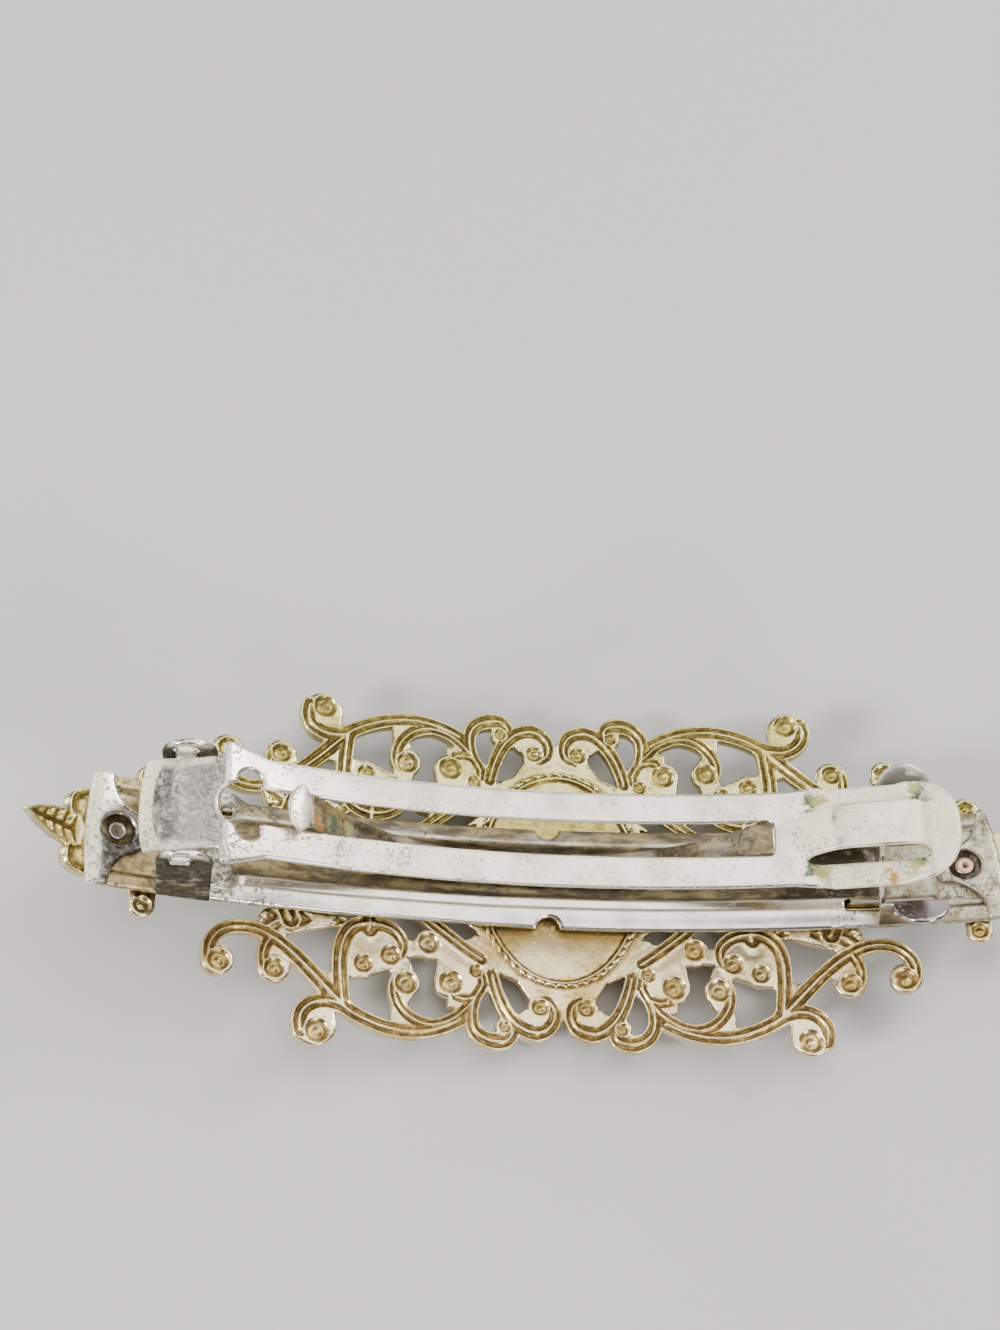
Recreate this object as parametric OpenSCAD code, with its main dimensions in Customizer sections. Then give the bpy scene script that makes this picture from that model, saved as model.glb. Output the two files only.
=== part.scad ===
// Cameo barrette, lying face down: the clip is on top and the cameo is underneath.
// X runs along the barrette, Y across it, Z up. All sizes are millimetres.

/* [Bow] */
// Radius of the bowed back of the filigree plate
bow_r = 110; // [100:1:130]
// Height of the back of the plate above the surface it lies on, at mid length
back_z = 3.1; // [3:0.05:3.4]

/* [Filigree] */
// Thickness of the flat webs of the casting
web_t = 0.9; // [0.8:0.1:1.1]
// Height of the raised scroll stems on the front of the webs
stem_rise = 0.45; // [0.3:0.05:0.5]
// How far each stem is narrower at the front than at the back
stem_inset = 0.14; // [0.08:0.02:0.2]
// Rise of the ball domes above the front of the stems
ball_rise = 0.25; // [0.1:0.05:0.3]
// Half width of the plain spine that runs under the clip
spine_half = 1.7; // [1.4:0.1:2.2]
// Tilt of the pointed leaf at each end
leaf_tilt = 32; // [28:1:40]

/* [Cameo] */
// Length of the oval cameo, across the barrette
cameo_l = 18; // [17.5:0.1:18.2]
// Width of the oval cameo, along the barrette
cameo_w = 13; // [12.5:0.1:13.2]
// Thickness of the cameo ground at its edge
ground_t = 1.3; // [1.2:0.1:1.4]
// Rise of the domed front of the cameo ground
ground_dome = 0.35; // [0.2:0.05:0.4]
// Clearance round the cameo in its cup
cameo_gap = 0.06; // [0.05:0.01:0.08]

/* [Clip base] */
// Length of the clip between its two folded ends
clip_l = 77; // [76:0.5:78]
// Where the middle of the clip lies along the barrette
clip_x = -1.2; // [-1.4:0.1:-1]
// Width of the clip base
base_w = 9.6; // [9.4:0.1:9.8]
// Thickness of the clip's sheet steel
sheet_t = 0.45; // [0.4:0.05:0.5]
// Gap between the plate and the clip base
seat_gap = 0.35; // [0.3:0.05:0.4]
// Where the rivet at the hinge end lies along the barrette
rivet_x0 = -37.6; // [-37.8:0.05:-37.3]
// Where the rivet at the clasp end lies along the barrette
rivet_x1 = 34.35; // [34.1:0.05:34.6]
// Diameter of the rivet shanks
rivet_d = 1; // [0.9:0.05:1.1]

/* [Hinge] */
// Hinge axis along the barrette
pivot_x = -32; // [-32.2:0.1:-31.8]
// Hinge axis above the back of the plate at mid length
pivot_h = 13.7; // [13.5:0.1:13.9]
// Diameter of the round hole in each hinge ear
pivot_d = 2.2; // [2.1:0.1:2.4]
// Distance between the outer faces of the two ears
ear_w = 9.7; // [9.6:0.1:9.9]

/* [Tongue] */
// Radius of the bowed tongue
tongue_r = 78; // [76:1:82]
// Height of the tongue above the back of the plate at mid length
tongue_h = 9.4; // [9.2:0.1:9.6]
// Width of the two arms together with the slot between them
tongue_w = 8.3; // [8.1:0.1:8.5]
// Width of the long slot
slot_w = 2.9; // [2.8:0.1:3.1]
// Far end of the tongue
tip_x = 30.5; // [30.2:0.1:30.6]
// Rise of the bridge strap above the rails
bridge_rise = 2.3; // [2.1:0.1:2.4]

/* [Hidden] */
fine = 360;
bow_fn = 72;
oval_n = 30;
step_l = 2.8;
disc_fn = 10;
clear = 0.05;
tall = 60;
plate_front = -(web_t + stem_rise);

// Places the back of the plate at height 0
module on_back() translate([0, 0, back_z]) children();

// Height of the bowed back at a place along the barrette
function back_at(x) = bow_r - sqrt(bow_r * bow_r - x * x);

// Angle round the bow's axis of a place along the barrette
function bow_angle(x) = asin(x / bow_r);

// A cylinder about the bow's axis that ends at height h above the plate's back
module bow_cylinder(h, facets = bow_fn) translate([0, 0, bow_r]) rotate([90, 0, 0])
    rotate(180 / facets) cylinder(r = bow_r - h, h = 2 * tall, center = true, $fn = facets);

// Gives a flat outline its thickness, between two heights, along the bow
module bowed(h0, h1, facets = bow_fn) intersection() {
    translate([0, 0, -8]) linear_extrude(tall) children();
    difference() {
        bow_cylinder(h0, facets);
        bow_cylinder(h1, facets);
    }
}

// Stands its children on the bow at x, square to it
module stand_on_bow(x) translate([0, 0, bow_r]) rotate([0, -bow_angle(x), 0])
    translate([0, 0, -bow_r]) children();

// Sweeps a profile, given as [height, y] points, along the bow from x0 to x1
module sweep_on_bow(x0, x1, profile) translate([0, 0, bow_r]) rotate([90, 0, 0])
    rotate_extrude(start = bow_angle(x0) - 90, angle = bow_angle(x1) - bow_angle(x0), $fn = fine)
        polygon([for (p = profile) [bow_r - p[0], p[1]]]);

// Repeats its children in the four quarters of the plate
module four_ways() for (sx = [1, -1], sy = [1, -1]) scale([sx, sy, 1]) children();
module both_ends() for (sx = [1, -1]) scale([sx, 1, 1]) children();

// Points of an oval with half sizes a along X and b along Y
function oval(a, b, n = oval_n) = [for (i = [0:n - 1]) [a * cos(360 * i / n), b * sin(360 * i / n)]];

// A point and the width at t on a stem row [ax, ay, bx, by, cx, cy, dx, dy, w0, w1]
function stem_at(s, t) = [
    for (k = [0, 1]) pow(1 - t, 3) * s[k] + 3 * t * pow(1 - t, 2) * s[k + 2]
        + 3 * t * t * (1 - t) * s[k + 4] + t * t * t * s[k + 6],
    s[8] + (s[9] - s[8]) * t];

// Stems of one quarter: start x y, two handles x y, end x y, start width, end width
STEMS = [
    [5.98, 8.75, 5.6, 10.7, 4.6, 13.6, 2.3, 13.7, 1.1, 1.5],
    [2.35, 13.65, 0.45, 13.6, 0.15, 11.2, 1.6, 10.85, 1.5, 0.9],
    [6.7, 9.6, 8.0, 11.4, 8.5, 14.1, 5.9, 14.5, 0.9, 1.5],
    [5.9, 14.5, 4.6, 14.7, 3.9, 13.8, 4.7, 13.2, 1.5, 0.9],
    [6.83, 9.05, 6.65, 10.29, 7.53, 11.33, 9.01, 10.86, 0.91, 0.97],
    [6.85, 7.55, 8.1, 6.8, 9.4, 5.8, 11.8, 3.9, 1.1, 1.2],
    [7.4, 10.8, 8.6, 12.6, 10.2, 13.4, 11.6, 13.3, 1.0, 1.0],
    [11.63, 13.3, 13.59, 13.01, 14.91, 10.67, 13.9, 9.35, 1.2, 0.94],
    [8.67, 12.73, 10.8, 13.99, 14.22, 14.92, 18.39, 12.29, 1.2, 1.33],
    [18.5, 12.2, 18.85, 9.4, 19.6, 4.95, 16.2, 4.95, 1.4, 1.5],
    [16.2, 4.95, 14.3, 4.95, 13.0, 6.3, 13.8, 7.6, 1.5, 0.9],
    [18.6, 12.0, 20.5, 10.3, 23.0, 7.2, 25.6, 6.4, 1.6, 1.2],
    [25.6, 6.4, 28.3, 5.6, 30.2, 7.6, 29.35, 9.4, 1.2, 1.1],
    [24.6, 7.0, 25.3, 8.0, 25.2, 9.0, 24.9, 9.6, 1.1, 0.9],
    [18.4, 12.2, 20.6, 11.2, 22.6, 12.6, 21.9, 14.5, 1.5, 1.3],
    [11.8, 3.9, 12.6, 3.2, 13.0, 2.4, 13.2, 1.4, 1.2, 1.2],
    [16.35, 5.5, 16.35, 4.0, 16.35, 3.0, 16.35, 1.4, 1.6, 1.6],
    [23.0, 5.2, 23.4, 4.0, 23.8, 2.8, 24.2, 1.4, 1.8, 1.8],
    [33.6, 1.4, 34.2, 3.0, 34.9, 4.0, 35.0, 5.3, 1.8, 1.6],
    [23.9, 2.95, 27.0, 3.05, 30.0, 3.05, 34.2, 2.95, 1.2, 1.2]];

// Webs of one quarter, each the hull of three discs: x y radius, three times
WEBS = [
    [1.21, 10.6, 0.48, 2.22, 10.48, 0.44, 2.19, 12.4, 1.02],
    [7.36, 8.64, 0.99, 9.53, 9.73, 1.24, 8.57, 7.84, 0.8],
    [8.6, 7.2, 0.5, 11.3, 6.6, 1.15, 8.6, 6.9, 0.5],
    [11.6, 6.7, 0.8, 13.5, 6.9, 0.5, 13.5, 7.15, 0.55],
    [13.22, 8.17, 0.36, 14.29, 7.98, 0.72, 13.41, 9.17, 0.89],
    [14.6, 7.5, 1.2, 17.0, 8.4, 1.2, 16.6, 6.2, 0.9],
    [17.0, 8.4, 1.2, 17.8, 7.0, 0.9, 18.1, 9.1, 0.7],
    [20.6, 13.9, 1.65, 20.0, 12.4, 0.8, 20.7, 12.4, 0.8],
    [18.6, 4.9, 0.35, 22.9, 5.3, 1.05, 24.6, 5.4, 1.0],
    [35.0, 5.5, 1.0, 34.8, 3.0, 0.9, 35.2, 3.0, 0.9],
    [9.6, 9.65, 1.3, 9.75, 8.2, 0.9, 9.0, 7.6, 0.8],
    [3.0, 12.2, 0.6, 3.9, 12.9, 0.5, 3.3, 12.6, 0.5],
    [0.0, 10.3, 0.6, 2.45, 9.95, 0.35, 1.2, 10.9, 0.6],
    [0.0, 12.2, 0.3, 0.0, 10.6, 0.5, 1.0, 11.0, 0.6],
    [2.3, 9.45, 0.45, 4.8, 8.4, 0.48, 5.6, 7.7, 0.5],
    [5.2, 7.8, 0.6, 6.4, 6.9, 0.6, 7.3, 5.9, 0.5],
    [6.35, 9.49, 0.5, 7.07, 9.62, 0.4, 6.66, 10.2, 0.27],
    [8.43, 11.2, 0.5, 9.41, 11.45, 0.39, 9.17, 10.37, 0.56],
    [13.08, 10.87, 0.5, 13.96, 11.05, 0.38, 13.68, 11.91, 0.41],
    [13.31, 13.07, 0.46, 14.08, 12.87, 0.5, 14.17, 12.22, 0.37],
    [23.2, 5.6, 0.9, 24.6, 6.2, 0.6, 23.6, 6.3, 0.5]];

// Round blobs that carry the curl ends and lobes of one quarter: x, y, radius
BLOBS = [
    [1.95, 11.6, 1.05], [4.95, 13.2, 0.85], [7.4, 8.6, 0.95], [9.5, 9.65, 1.28], [11.4, 6.4, 1.2],
    [13.3, 9.9, 1.25], [14.5, 7.6, 1.15], [16.9, 8.5, 1.2], [20.75, 14.0, 1.68], [24.2, 9.35, 1.35],
    [28.75, 9.25, 1.3], [35.0, 5.5, 1.05], [39.8, 2.15, 1.5], [8.0, 10.2, 0.37], [24.35, 7.85, 0.5],
    [6.38, 8.23, 0.52], [19.8, 9.75, 0.42]];

// Balls of one quarter: x, y, radius
BALLS = [
    [1.95, 11.5, 0.7], [4.95, 13.25, 0.5], [7.35, 8.55, 0.55], [9.5, 9.65, 0.95],
    [11.4, 6.35, 0.85], [13.3, 9.9, 0.9], [14.6, 7.6, 0.8], [16.9, 8.5, 0.75],
    [20.6, 14.4, 0.95], [24.25, 9.5, 0.8], [28.75, 9.3, 0.85], [35.0, 5.5, 0.65]];

// Pointed spurs beside the ring, written as short stems
SPURS = [
    [6.2, 5.4, 6.9, 5.2, 7.4, 4.9, 7.8, 4.5, 0.9, 0.3],
    [5.6, 6.7, 6.6, 6.5, 7.5, 6.3, 8.1, 5.9, 0.9, 0.3],
    [3.3, 9.4, 3.1, 9.9, 2.9, 10.3, 2.6, 10.8, 0.8, 0.4]];

// Half outline of the spine from the ring to the end of the plate: x, half width
SPINE = [[5, 2.2], [12, spine_half], [31, spine_half], [33.2, 3.0], [37.5, 3.2], [39.5, 2.0], [40.5, 1.4]];

module disc(d, fn = disc_fn) translate([d[0], d[1]]) circle(r = d[2], $fn = fn);

// A stem row as one closed outline of its two edges, with round ends
function stem_edge(s, t, side) = let(
    p = stem_at(s, t),
    q = stem_at(s, min(t + 0.01, 1)),
    o = stem_at(s, min(t, 0.99)),
    along = [q[0] - o[0], q[1] - o[1]],
    across = [-along[1], along[0]] / norm(along))
    [p[0], p[1]] + side * p[2] / 2 * across;

function stem_steps(s) = max(2, round(norm([s[6] - s[0], s[7] - s[1]]) / step_l) + 1);
function between(trim, t) = trim + (1 - 2 * trim) * t;
module stem_2d(s, steps, trim = 0) polygon(concat(
    [for (i = [0:steps]) stem_edge(s, between(trim, i / steps), 1)],
    [for (i = [steps:-1:0]) stem_edge(s, between(trim, i / steps), -1)]));

module web_2d(w) hull() for (i = [0, 3, 6]) disc([w[i], w[i + 1], w[i + 2]]);

module spine_2d() polygon(concat(
    [for (p = SPINE) [p[0], p[1]]], [for (i = [len(SPINE) - 1:-1:0]) [SPINE[i][0], -SPINE[i][1]]]));

// The setting's ring, as a half size added to the cameo's own outline
ring_in = 0.15;
ring_out_x = 1.5;
ring_out_y = 1.15;
module ring_outer() polygon(oval(cameo_w / 2 + ring_out_x, cameo_l / 2 + ring_out_y));

module plate_outline() union() {
    four_ways() {
        for (s = STEMS) {
            stem_2d(s, stem_steps(s));
            disc([s[6], s[7], s[9] / 2], 6);
        }
        for (s = SPURS) stem_2d(s, 1);
        for (b = BLOBS) disc(b);
        for (w = WEBS) web_2d(w);
    }
    ring_outer();
    both_ends() spine_2d();
}

// Round knot from which the stems beside the ring start: x, y, radius
KNOT = [6.35, 8.05, 0.85];
module stem_outline() four_ways() {
    for (s = STEMS) if (s[1] > 4.5) stem_2d(concat(
        [for (i = [0:7]) s[i]], [s[8] - 2 * stem_inset, s[9] - 2 * stem_inset]), stem_steps(s), 0.03);
    disc(KNOT);
}

// Pointed leaf at each end, bent up towards the clip side
leaf_x = 40.4;
leaf_l = 5.8;
module end_leaf() stand_on_bow(leaf_x) rotate([0, -leaf_tilt, 0])
    translate([0, 0, -web_t]) linear_extrude(web_t)
        polygon([[-0.7, -1.2], [0.6, -1.4], [2.5, -1.25], [4.4, -0.65], [leaf_l, 0],
                 [4.4, 0.65], [2.5, 1.25], [0.6, 1.4], [-0.7, 1.2]]);

// Oval cup that holds the cameo: floor, wall and a rim turned in over its edge
cup_wall = 0.5;
cup_floor = 0.45;
cup_back = -0.25;
rim_lip = 0.35;
rim_t = 0.35;
cup_a = cameo_w / 2 + cameo_gap;
cup_b = cameo_l / 2 + cameo_gap;
ground_top = cup_back - cup_floor - cameo_gap;
rim_top = ground_top - ground_t - cameo_gap;

module oval_slab(a, b, z0, z1) translate([0, 0, min(z0, z1)])
    linear_extrude(abs(z1 - z0)) polygon(oval(a, b));

module cup() {
    difference() {
        oval_slab(cup_a + cup_wall, cup_b + cup_wall, cup_back, rim_top - rim_t);
        oval_slab(cup_a, cup_b, cup_back - cup_floor, rim_top);
        oval_slab(cup_a - rim_lip, cup_b - rim_lip, rim_top + 1, rim_top - rim_t - 1);
    }
}

// Ring round the cup: a raised rope on the back with a plain step inside it
rope_rise = 0.22;
module ring() difference() {
    oval_slab(cameo_w / 2 + ring_out_x - 0.2, cameo_l / 2 + ring_out_y - 0.2, -web_t, rope_rise);
    oval_slab(cameo_w / 2 + ring_in, cameo_l / 2 + ring_in, cup_back - 0.1, 1);
    oval_slab(cup_a, cup_b, cup_back - cup_floor, -2);
}

module clear_cup() {
    oval_slab(cameo_w / 2 + ring_in, cameo_l / 2 + ring_in, cup_back, 2);
    oval_slab(cup_a, cup_b, cup_back - cup_floor, -3);
}

// Round dome with its top at height 0 and its foot sunk in the plate above it
module ball_dome(r) rotate_extrude($fn = 7)
    polygon([[0, 0], [0.65 * r, 0.12 * r], [r, 0.5 * r], [0, web_t + stem_rise]]);

// Rivets: the lower head is sunk in the front of the plate, the upper one lies on the clip
boss_r = 1.9;
lower_head_d = 1.9;
upper_head_d = 1.6;
upper_head_t = 0.27;
head_t = 0.36;
head_top = -0.54;
module rivet_places() for (x = [rivet_x0, rivet_x1]) stand_on_bow(x) children();

module filigree() color("#c9b77c") on_back() difference() {
    union() {
        difference() {
            union() {
                bowed(-web_t, 0) plate_outline();
                bowed(plate_front, -web_t + 0.1) stem_outline();
                ring();
            }
            clear_cup();
        }
        cup();
        four_ways() for (b = BALLS) stand_on_bow(b[0])
            translate([0, b[1], plate_front - ball_rise]) ball_dome(b[2]);
        both_ends() end_leaf();
        rivet_places() translate([0, 0, -0.2]) cylinder(r = boss_r, h = seat_gap + 0.2 - clear, $fn = 16);
    }
    rivet_places() {
        cylinder(d = rivet_d + 2 * clear, h = 6, center = true, $fn = 16);
        translate([0, 0, head_top + clear - 3]) cylinder(d = lower_head_d + 4 * clear, h = 3, $fn = 16);
    }
}

// The cameo's ground is an oval with a gently domed front
dome_r = (pow(cameo_w / 2, 2) + pow(ground_dome, 2)) / (2 * ground_dome);
ground_front = rim_top + cameo_gap;
module dome_ball(grow = 0) translate([0, 0, ground_front - ground_dome + dome_r])
    sphere(r = dome_r + grow, $fn = 180);

module cameo_ground() color("#7a2f22") on_back() {
    oval_slab(cameo_w / 2, cameo_l / 2, ground_top, ground_front);
    translate([0, 0, 0.01]) intersection() {
        oval_slab(cameo_w / 2 - 0.55, cameo_l / 2 - 0.75, ground_front + 0.1, ground_front - 2);
        dome_ball();
    }
}

// Bust in profile: [forward, up] points of each layer of the relief
HEAD = [[-1.2, 6.0], [0.6, 6.25], [1.7, 5.7], [2.15, 4.9], [2.3, 4.1], [2.25, 3.8], [3.05, 2.8], [2.95, 2.6],
        [2.5, 2.45], [2.72, 2.1], [2.62, 1.85], [2.7, 1.55], [2.42, 1.3], [2.5, 0.85], [2.2, 0.5],
        [1.75, 0.45], [1.05, 0.2], [0.9, -0.6], [1.0, -1.6], [1.5, -2.5], [-1.6, -2.5], [-1.4, -0.8],
        [-2.0, 1.2]];
CHEST = [[-1.5, -1.6], [0.95, -1.3], [1.75, -2.6], [2.6, -3.9], [2.7, -4.8], [1.9, -6.0], [0, -6.9],
         [-2.3, -6.3], [-3.7, -4.7], [-3.1, -3.0]];
HAIR = [[1.75, 5.6], [1.3, 6.3], [-0.1, 6.8], [-1.7, 6.3], [-2.6, 5.2], [-2.9, 3.6], [-2.6, 2.2], [-1.9, 1.2],
        [-1.1, 1.6], [-0.5, 2.4], [0.2, 3.4], [0.9, 4.4], [1.7, 4.9]];
// Curls of the hair: x, y, radius
CURLS = [[-2.75, 1.5, 0.95], [-2.15, 0.35, 0.75], [-1.5, -0.6, 0.6], [-1.35, 2.35, 0.65], [0.95, 5.35, 0.6],
         [-0.3, 5.9, 0.7], [-1.55, 5.35, 0.75]];
// Folds of the dress: centre x, y, radius of the bend, start angle, end angle
FOLDS = [[0.9, -2.2, 2.6, 215, 300], [1.2, -1.6, 3.9, 222, 296], [1.6, -0.8, 5.4, 228, 286]];
figure_front = -back_z;
fold_r = 0.42;

// One layer of the relief: an outline cut by a ball whose lowest point is at a given place
module figure_slab(outline, x, y, top, r) intersection() {
    translate([0, 0, figure_front - 1]) linear_extrude(3)
        offset(r = 0.12) offset(delta = -0.12) polygon(outline);
    translate([x, y, top + r]) sphere(r = r, $fn = 96);
}

module cameo_figure() color("#efe6d2") on_back() difference() {
    union() {
        figure_slab(HEAD, 0.6, 2.2, figure_front + 0.02, 20);
        figure_slab(CHEST, -0.4, -4.2, figure_front - 0.05, 16);
        figure_slab(HAIR, -0.8, 4.2, figure_front - 0.2, 10);
        for (c = CURLS) translate([c[0], c[1], figure_front + 0.65]) sphere(r = c[2] + 0.15, $fn = 32);
        for (f = FOLDS) translate([f[0], f[1], figure_front + 0.4]) rotate([0, 0, f[3]])
            rotate_extrude(angle = f[4] - f[3], $fn = 96) translate([f[2], 0]) circle(r = fold_r, $fn = 24);
    }
    dome_ball(clear);
    translate([0, 0, ground_front - clear]) cylinder(r = 20, h = 5);
    translate([0, 0, figure_front - 5]) cylinder(r = 20, h = 5);
}

// Underside of the clip base from its middle to its edge: y, height above the seat
edge_y = base_w / 2;
CHANNEL = [[0, 0], [1.95, 0], [2.3, 0.6], [3.05, 0.6], [edge_y, 0]];
FLAT_END = [[0, 0], [3.45, 0], [3.7, 0.35], [3.95, 0.35], [edge_y, 0]];

// A whole cross-section of the sheet, as [height, y] points
function sheet_side(rows, lift) = concat(
    [for (i = [len(rows) - 1:-1:1]) [rows[i][1] + lift, -rows[i][0]]],
    [for (r = rows) [r[1] + lift, r[0]]]);
function reversed(list) = [for (i = [len(list) - 1:-1:0]) list[i]];
function sheet_section(rows) = concat(
    sheet_side(rows, seat_gap),
    reversed(sheet_side(rows, seat_gap + sheet_t)));

module mirrored(across) {
    children();
    mirror(across) children();
}

// A flat sheet in the XZ plane between two distances from the middle
module upright_sheet(y0, y1) translate([0, y1, 0]) rotate([90, 0, 0]) linear_extrude(y1 - y0) children();

// Where the base changes its section
channel_x0 = -28.4;
channel_x1 = 27;

// Folded ends: outer radius of the bend, and the length of the flap at the hinge end and at the clasp end
fold_r_out = 0.5;
fold_x = clip_l / 2 - fold_r_out;
fold_h = seat_gap + fold_r_out;
flap_h0 = fold_h + 0.05;
flap_l0 = 3.6;
flap_l1 = 4.4;
flap_w = base_w + 0.2;
corner_r = 3.2;
corner_at = 4.25;

module base_sheet() {
    sweep_on_bow(channel_x0, channel_x1, sheet_section(CHANNEL));
    sweep_on_bow(clip_x - fold_x, channel_x0 + 0.2, sheet_section(FLAT_END));
    sweep_on_bow(channel_x1 - 0.2, clip_x + fold_x, sheet_section(FLAT_END));
}

// Folded end: a round bend, and a flap with hollow corners round the rivet
module folded_end(x, out, length) {
    stand_on_bow(x) translate([0, 0, fold_h]) rotate([90, 0, 0])
        cylinder(r = fold_r_out, h = flap_w + 0.1, center = true, $fn = 48);
    bowed(flap_h0, flap_h0 + sheet_t, fine) difference() {
        translate([x - out * length / 2, 0]) square([length, flap_w], center = true);
        translate([x - out * corner_at, 0]) mirrored([0, 1])
            translate([0, edge_y - 0.2]) circle(r = corner_r, $fn = 64);
    }
}

// Hinge ears stand up from the edges of the base
ear_t = sheet_t;
ear_top = 13.5;
module ear() upright_sheet(ear_w / 2 - ear_t, ear_w / 2) {
    polygon([[-34, back_at(-34) + seat_gap + 0.1], [-29.7, back_at(-29.7) + seat_gap + 0.1],
             [-29.55, ear_top], [-33.85, ear_top]]);
    translate([-31.7, ear_top]) circle(r = 2.15, $fn = 64);
}

// Clasp at the other end: a wall, a paddle to squeeze and a barbed catch on each side
clasp_x = 29.8;
wall_x0 = -2.95;
wall_x1 = 1.5;
wall_y = edge_y - sheet_t;
wall_h = 5.3;
paddle_r = 2.3;
paddle_tilt = 48;
CATCH = [[4.55, 0.9], [3.6, 0.9], [1.35, 9.0], [1.35, 11.0], [1.9, 11.2], [2.05, 10.4], [1.95, 9.9],
         [2.0, 9.0], [4.55, 4.3]];
module clasp_side() stand_on_bow(clasp_x) {
    upright_sheet(wall_y, edge_y + 0.03) translate([wall_x0, seat_gap + 0.02])
        square([wall_x1 - wall_x0, wall_h]);
    translate([0.25, wall_y, seat_gap + wall_h - 0.15]) rotate([-paddle_tilt, 0, 0]) upright_sheet(0, sheet_t) {
        translate([-paddle_r, -0.1]) square([2 * paddle_r, 1]);
        translate([0, 0.9]) circle(r = paddle_r, $fn = 64);
    }
    translate([wall_x0, 0, 0]) rotate([90, 0, 90]) linear_extrude(sheet_t) polygon(CATCH);
}

module clip_base() color("#d8d5cf") on_back() difference() {
    union() {
        difference() {
            base_sheet();
            mirrored([0, 1, 0]) translate([clip_x, edge_y + 0.15, 0]) cylinder(r = 1, h = 8, center = true);
            mirrored([0, 1, 0]) translate([24.2, 2.45, 0]) cube([7.6, 1.05, 12]);
            translate([-28.8, 3.1, 0]) cylinder(r = 0.45, h = 12);
        }
        folded_end(clip_x - fold_x, -1, flap_l0);
        folded_end(clip_x + fold_x, 1, flap_l1);
        mirrored([0, 1, 0]) ear();
        mirrored([0, 1, 0]) clasp_side();
    }
    translate([pivot_x, 0, pivot_h]) rotate([90, 0, 0]) cylinder(d = pivot_d, h = 14, center = true);
    rivet_places() cylinder(d = rivet_d + 2 * clear, h = 4, center = true);
    rivet_places() translate([0, 0, flap_h0 - 0.07]) cylinder(d = upper_head_d + 1, h = 3);
}

// Height of the middle of the tongue's sheet at a place along it
function tongue_at(x) = tongue_h + tongue_r - sqrt(tongue_r * tongue_r - x * x);
tongue_t = 0.5;

// Half outline of the tongue from its shoulders to its round tip: x, half width
tip_r = 4.35;
SHOULDERS = [[-29.2, 3.9], [-29, 5.05], [-28.3, 5.1], [-25.4, tongue_w / 2], [17.5, tongue_w / 2],
             [19.2, tip_r], [tip_x - tip_r, tip_r]];
slot_x0 = -26.5;
slot_x1 = 15.9;
strap_x0 = 18.6;
strap_x1 = 28.1;
strap_gap_y = 2.15;
strap_half = 1.9;

module tongue_outline() difference() {
    union() {
        polygon(concat(SHOULDERS, reversed([for (p = SHOULDERS) [p[0], -p[1]]])));
        translate([tip_x - tip_r, 0]) circle(r = tip_r, $fn = 96);
    }
    translate([slot_x0, -slot_w / 2]) square([slot_x1 - slot_x0, slot_w]);
    translate([slot_x0 - 1, 0]) circle(r = 1.75, $fn = 48);
    for (y = [-2, 2]) translate([slot_x0 - 0.4, y]) circle(r = 0.95, $fn = 32);
    translate([strap_x0, -strap_gap_y]) square([strap_x1 - strap_x0, 2 * strap_gap_y]);
}

// A strip of sheet seen from the side, from a path of [x, height] points
function unit(v) = v / norm(v);
function path_normal(path, i) =
    let(d = unit(path[min(i + 1, len(path) - 1)] - path[max(i - 1, 0)]))
    [-d[1], d[0]];
function path_side(path, off) = [for (i = [0:len(path) - 1]) path[i] + off * path_normal(path, i)];
module strip(path, t, half) upright_sheet(-half, half)
    polygon(concat(path_side(path, t / 2), reversed(path_side(path, -t / 2))));

HEEL = [[-28.6, tongue_at(-28.6)], [-30.4, 14.25], [-31.4, 13.8], [-32.8, 13.65], [-34.2, 13.5],
        [-34.9, 13.1], [-35.3, 12.4]];

// The strap leaves the tongue's sheet, runs above it and comes back to it: x, height above the sheet
STRAP = [for (p = [[strap_x0 - 0.3, 0], [strap_x0 + 1, bridge_rise], [strap_x1 - 1.4, bridge_rise],
                   [strap_x1 + 0.4, 0]]) [p[0], tongue_at(p[0]) + p[1]]];

// The bow spring leaves the end of the slot, turns down, and runs back in one long arc
root = [slot_x1, tongue_at(slot_x1)];
root_dir = 191.8;
bend_r = 2.5;
bend_deg = 42;
arc_r = 21;
tail_dir = 126.2;
tail_l = 4.4;
spring_t = 0.45;
spring_half = 1.3;
arc_dir = root_dir + bend_deg;
function heading(a) = [cos(a), sin(a)];
bend_c = root + bend_r * heading(root_dir + 90);
arc_start = bend_c + bend_r * heading(arc_dir - 90);
arc_c = arc_start + arc_r * heading(arc_dir - 90);
arc_end = arc_c + arc_r * heading(tail_dir + 90);
tail_end = arc_end + tail_l * heading(tail_dir);
SPRING = concat(
    [root - heading(root_dir)],
    [for (i = [0:4]) bend_c + bend_r * heading(root_dir - 90 + bend_deg * i / 4)],
    [for (i = [1:24]) arc_c + arc_r * heading(arc_dir + 90 + (tail_dir - arc_dir) * i / 24)],
    [tail_end]);

// Its head is a pointed oval that lies across the slot, above both arms
module spring_head() translate([tail_end[0], 0, tail_end[1]]) rotate([0, -150, 0]) translate([0.8, 0, 0])
    intersection() {
        translate([1.25, 0, 0]) cylinder(r = 2.4, h = spring_t, center = true, $fn = 96);
        translate([-1.25, 0, 0]) cylinder(r = 2.4, h = spring_t, center = true, $fn = 96);
    }

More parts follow.
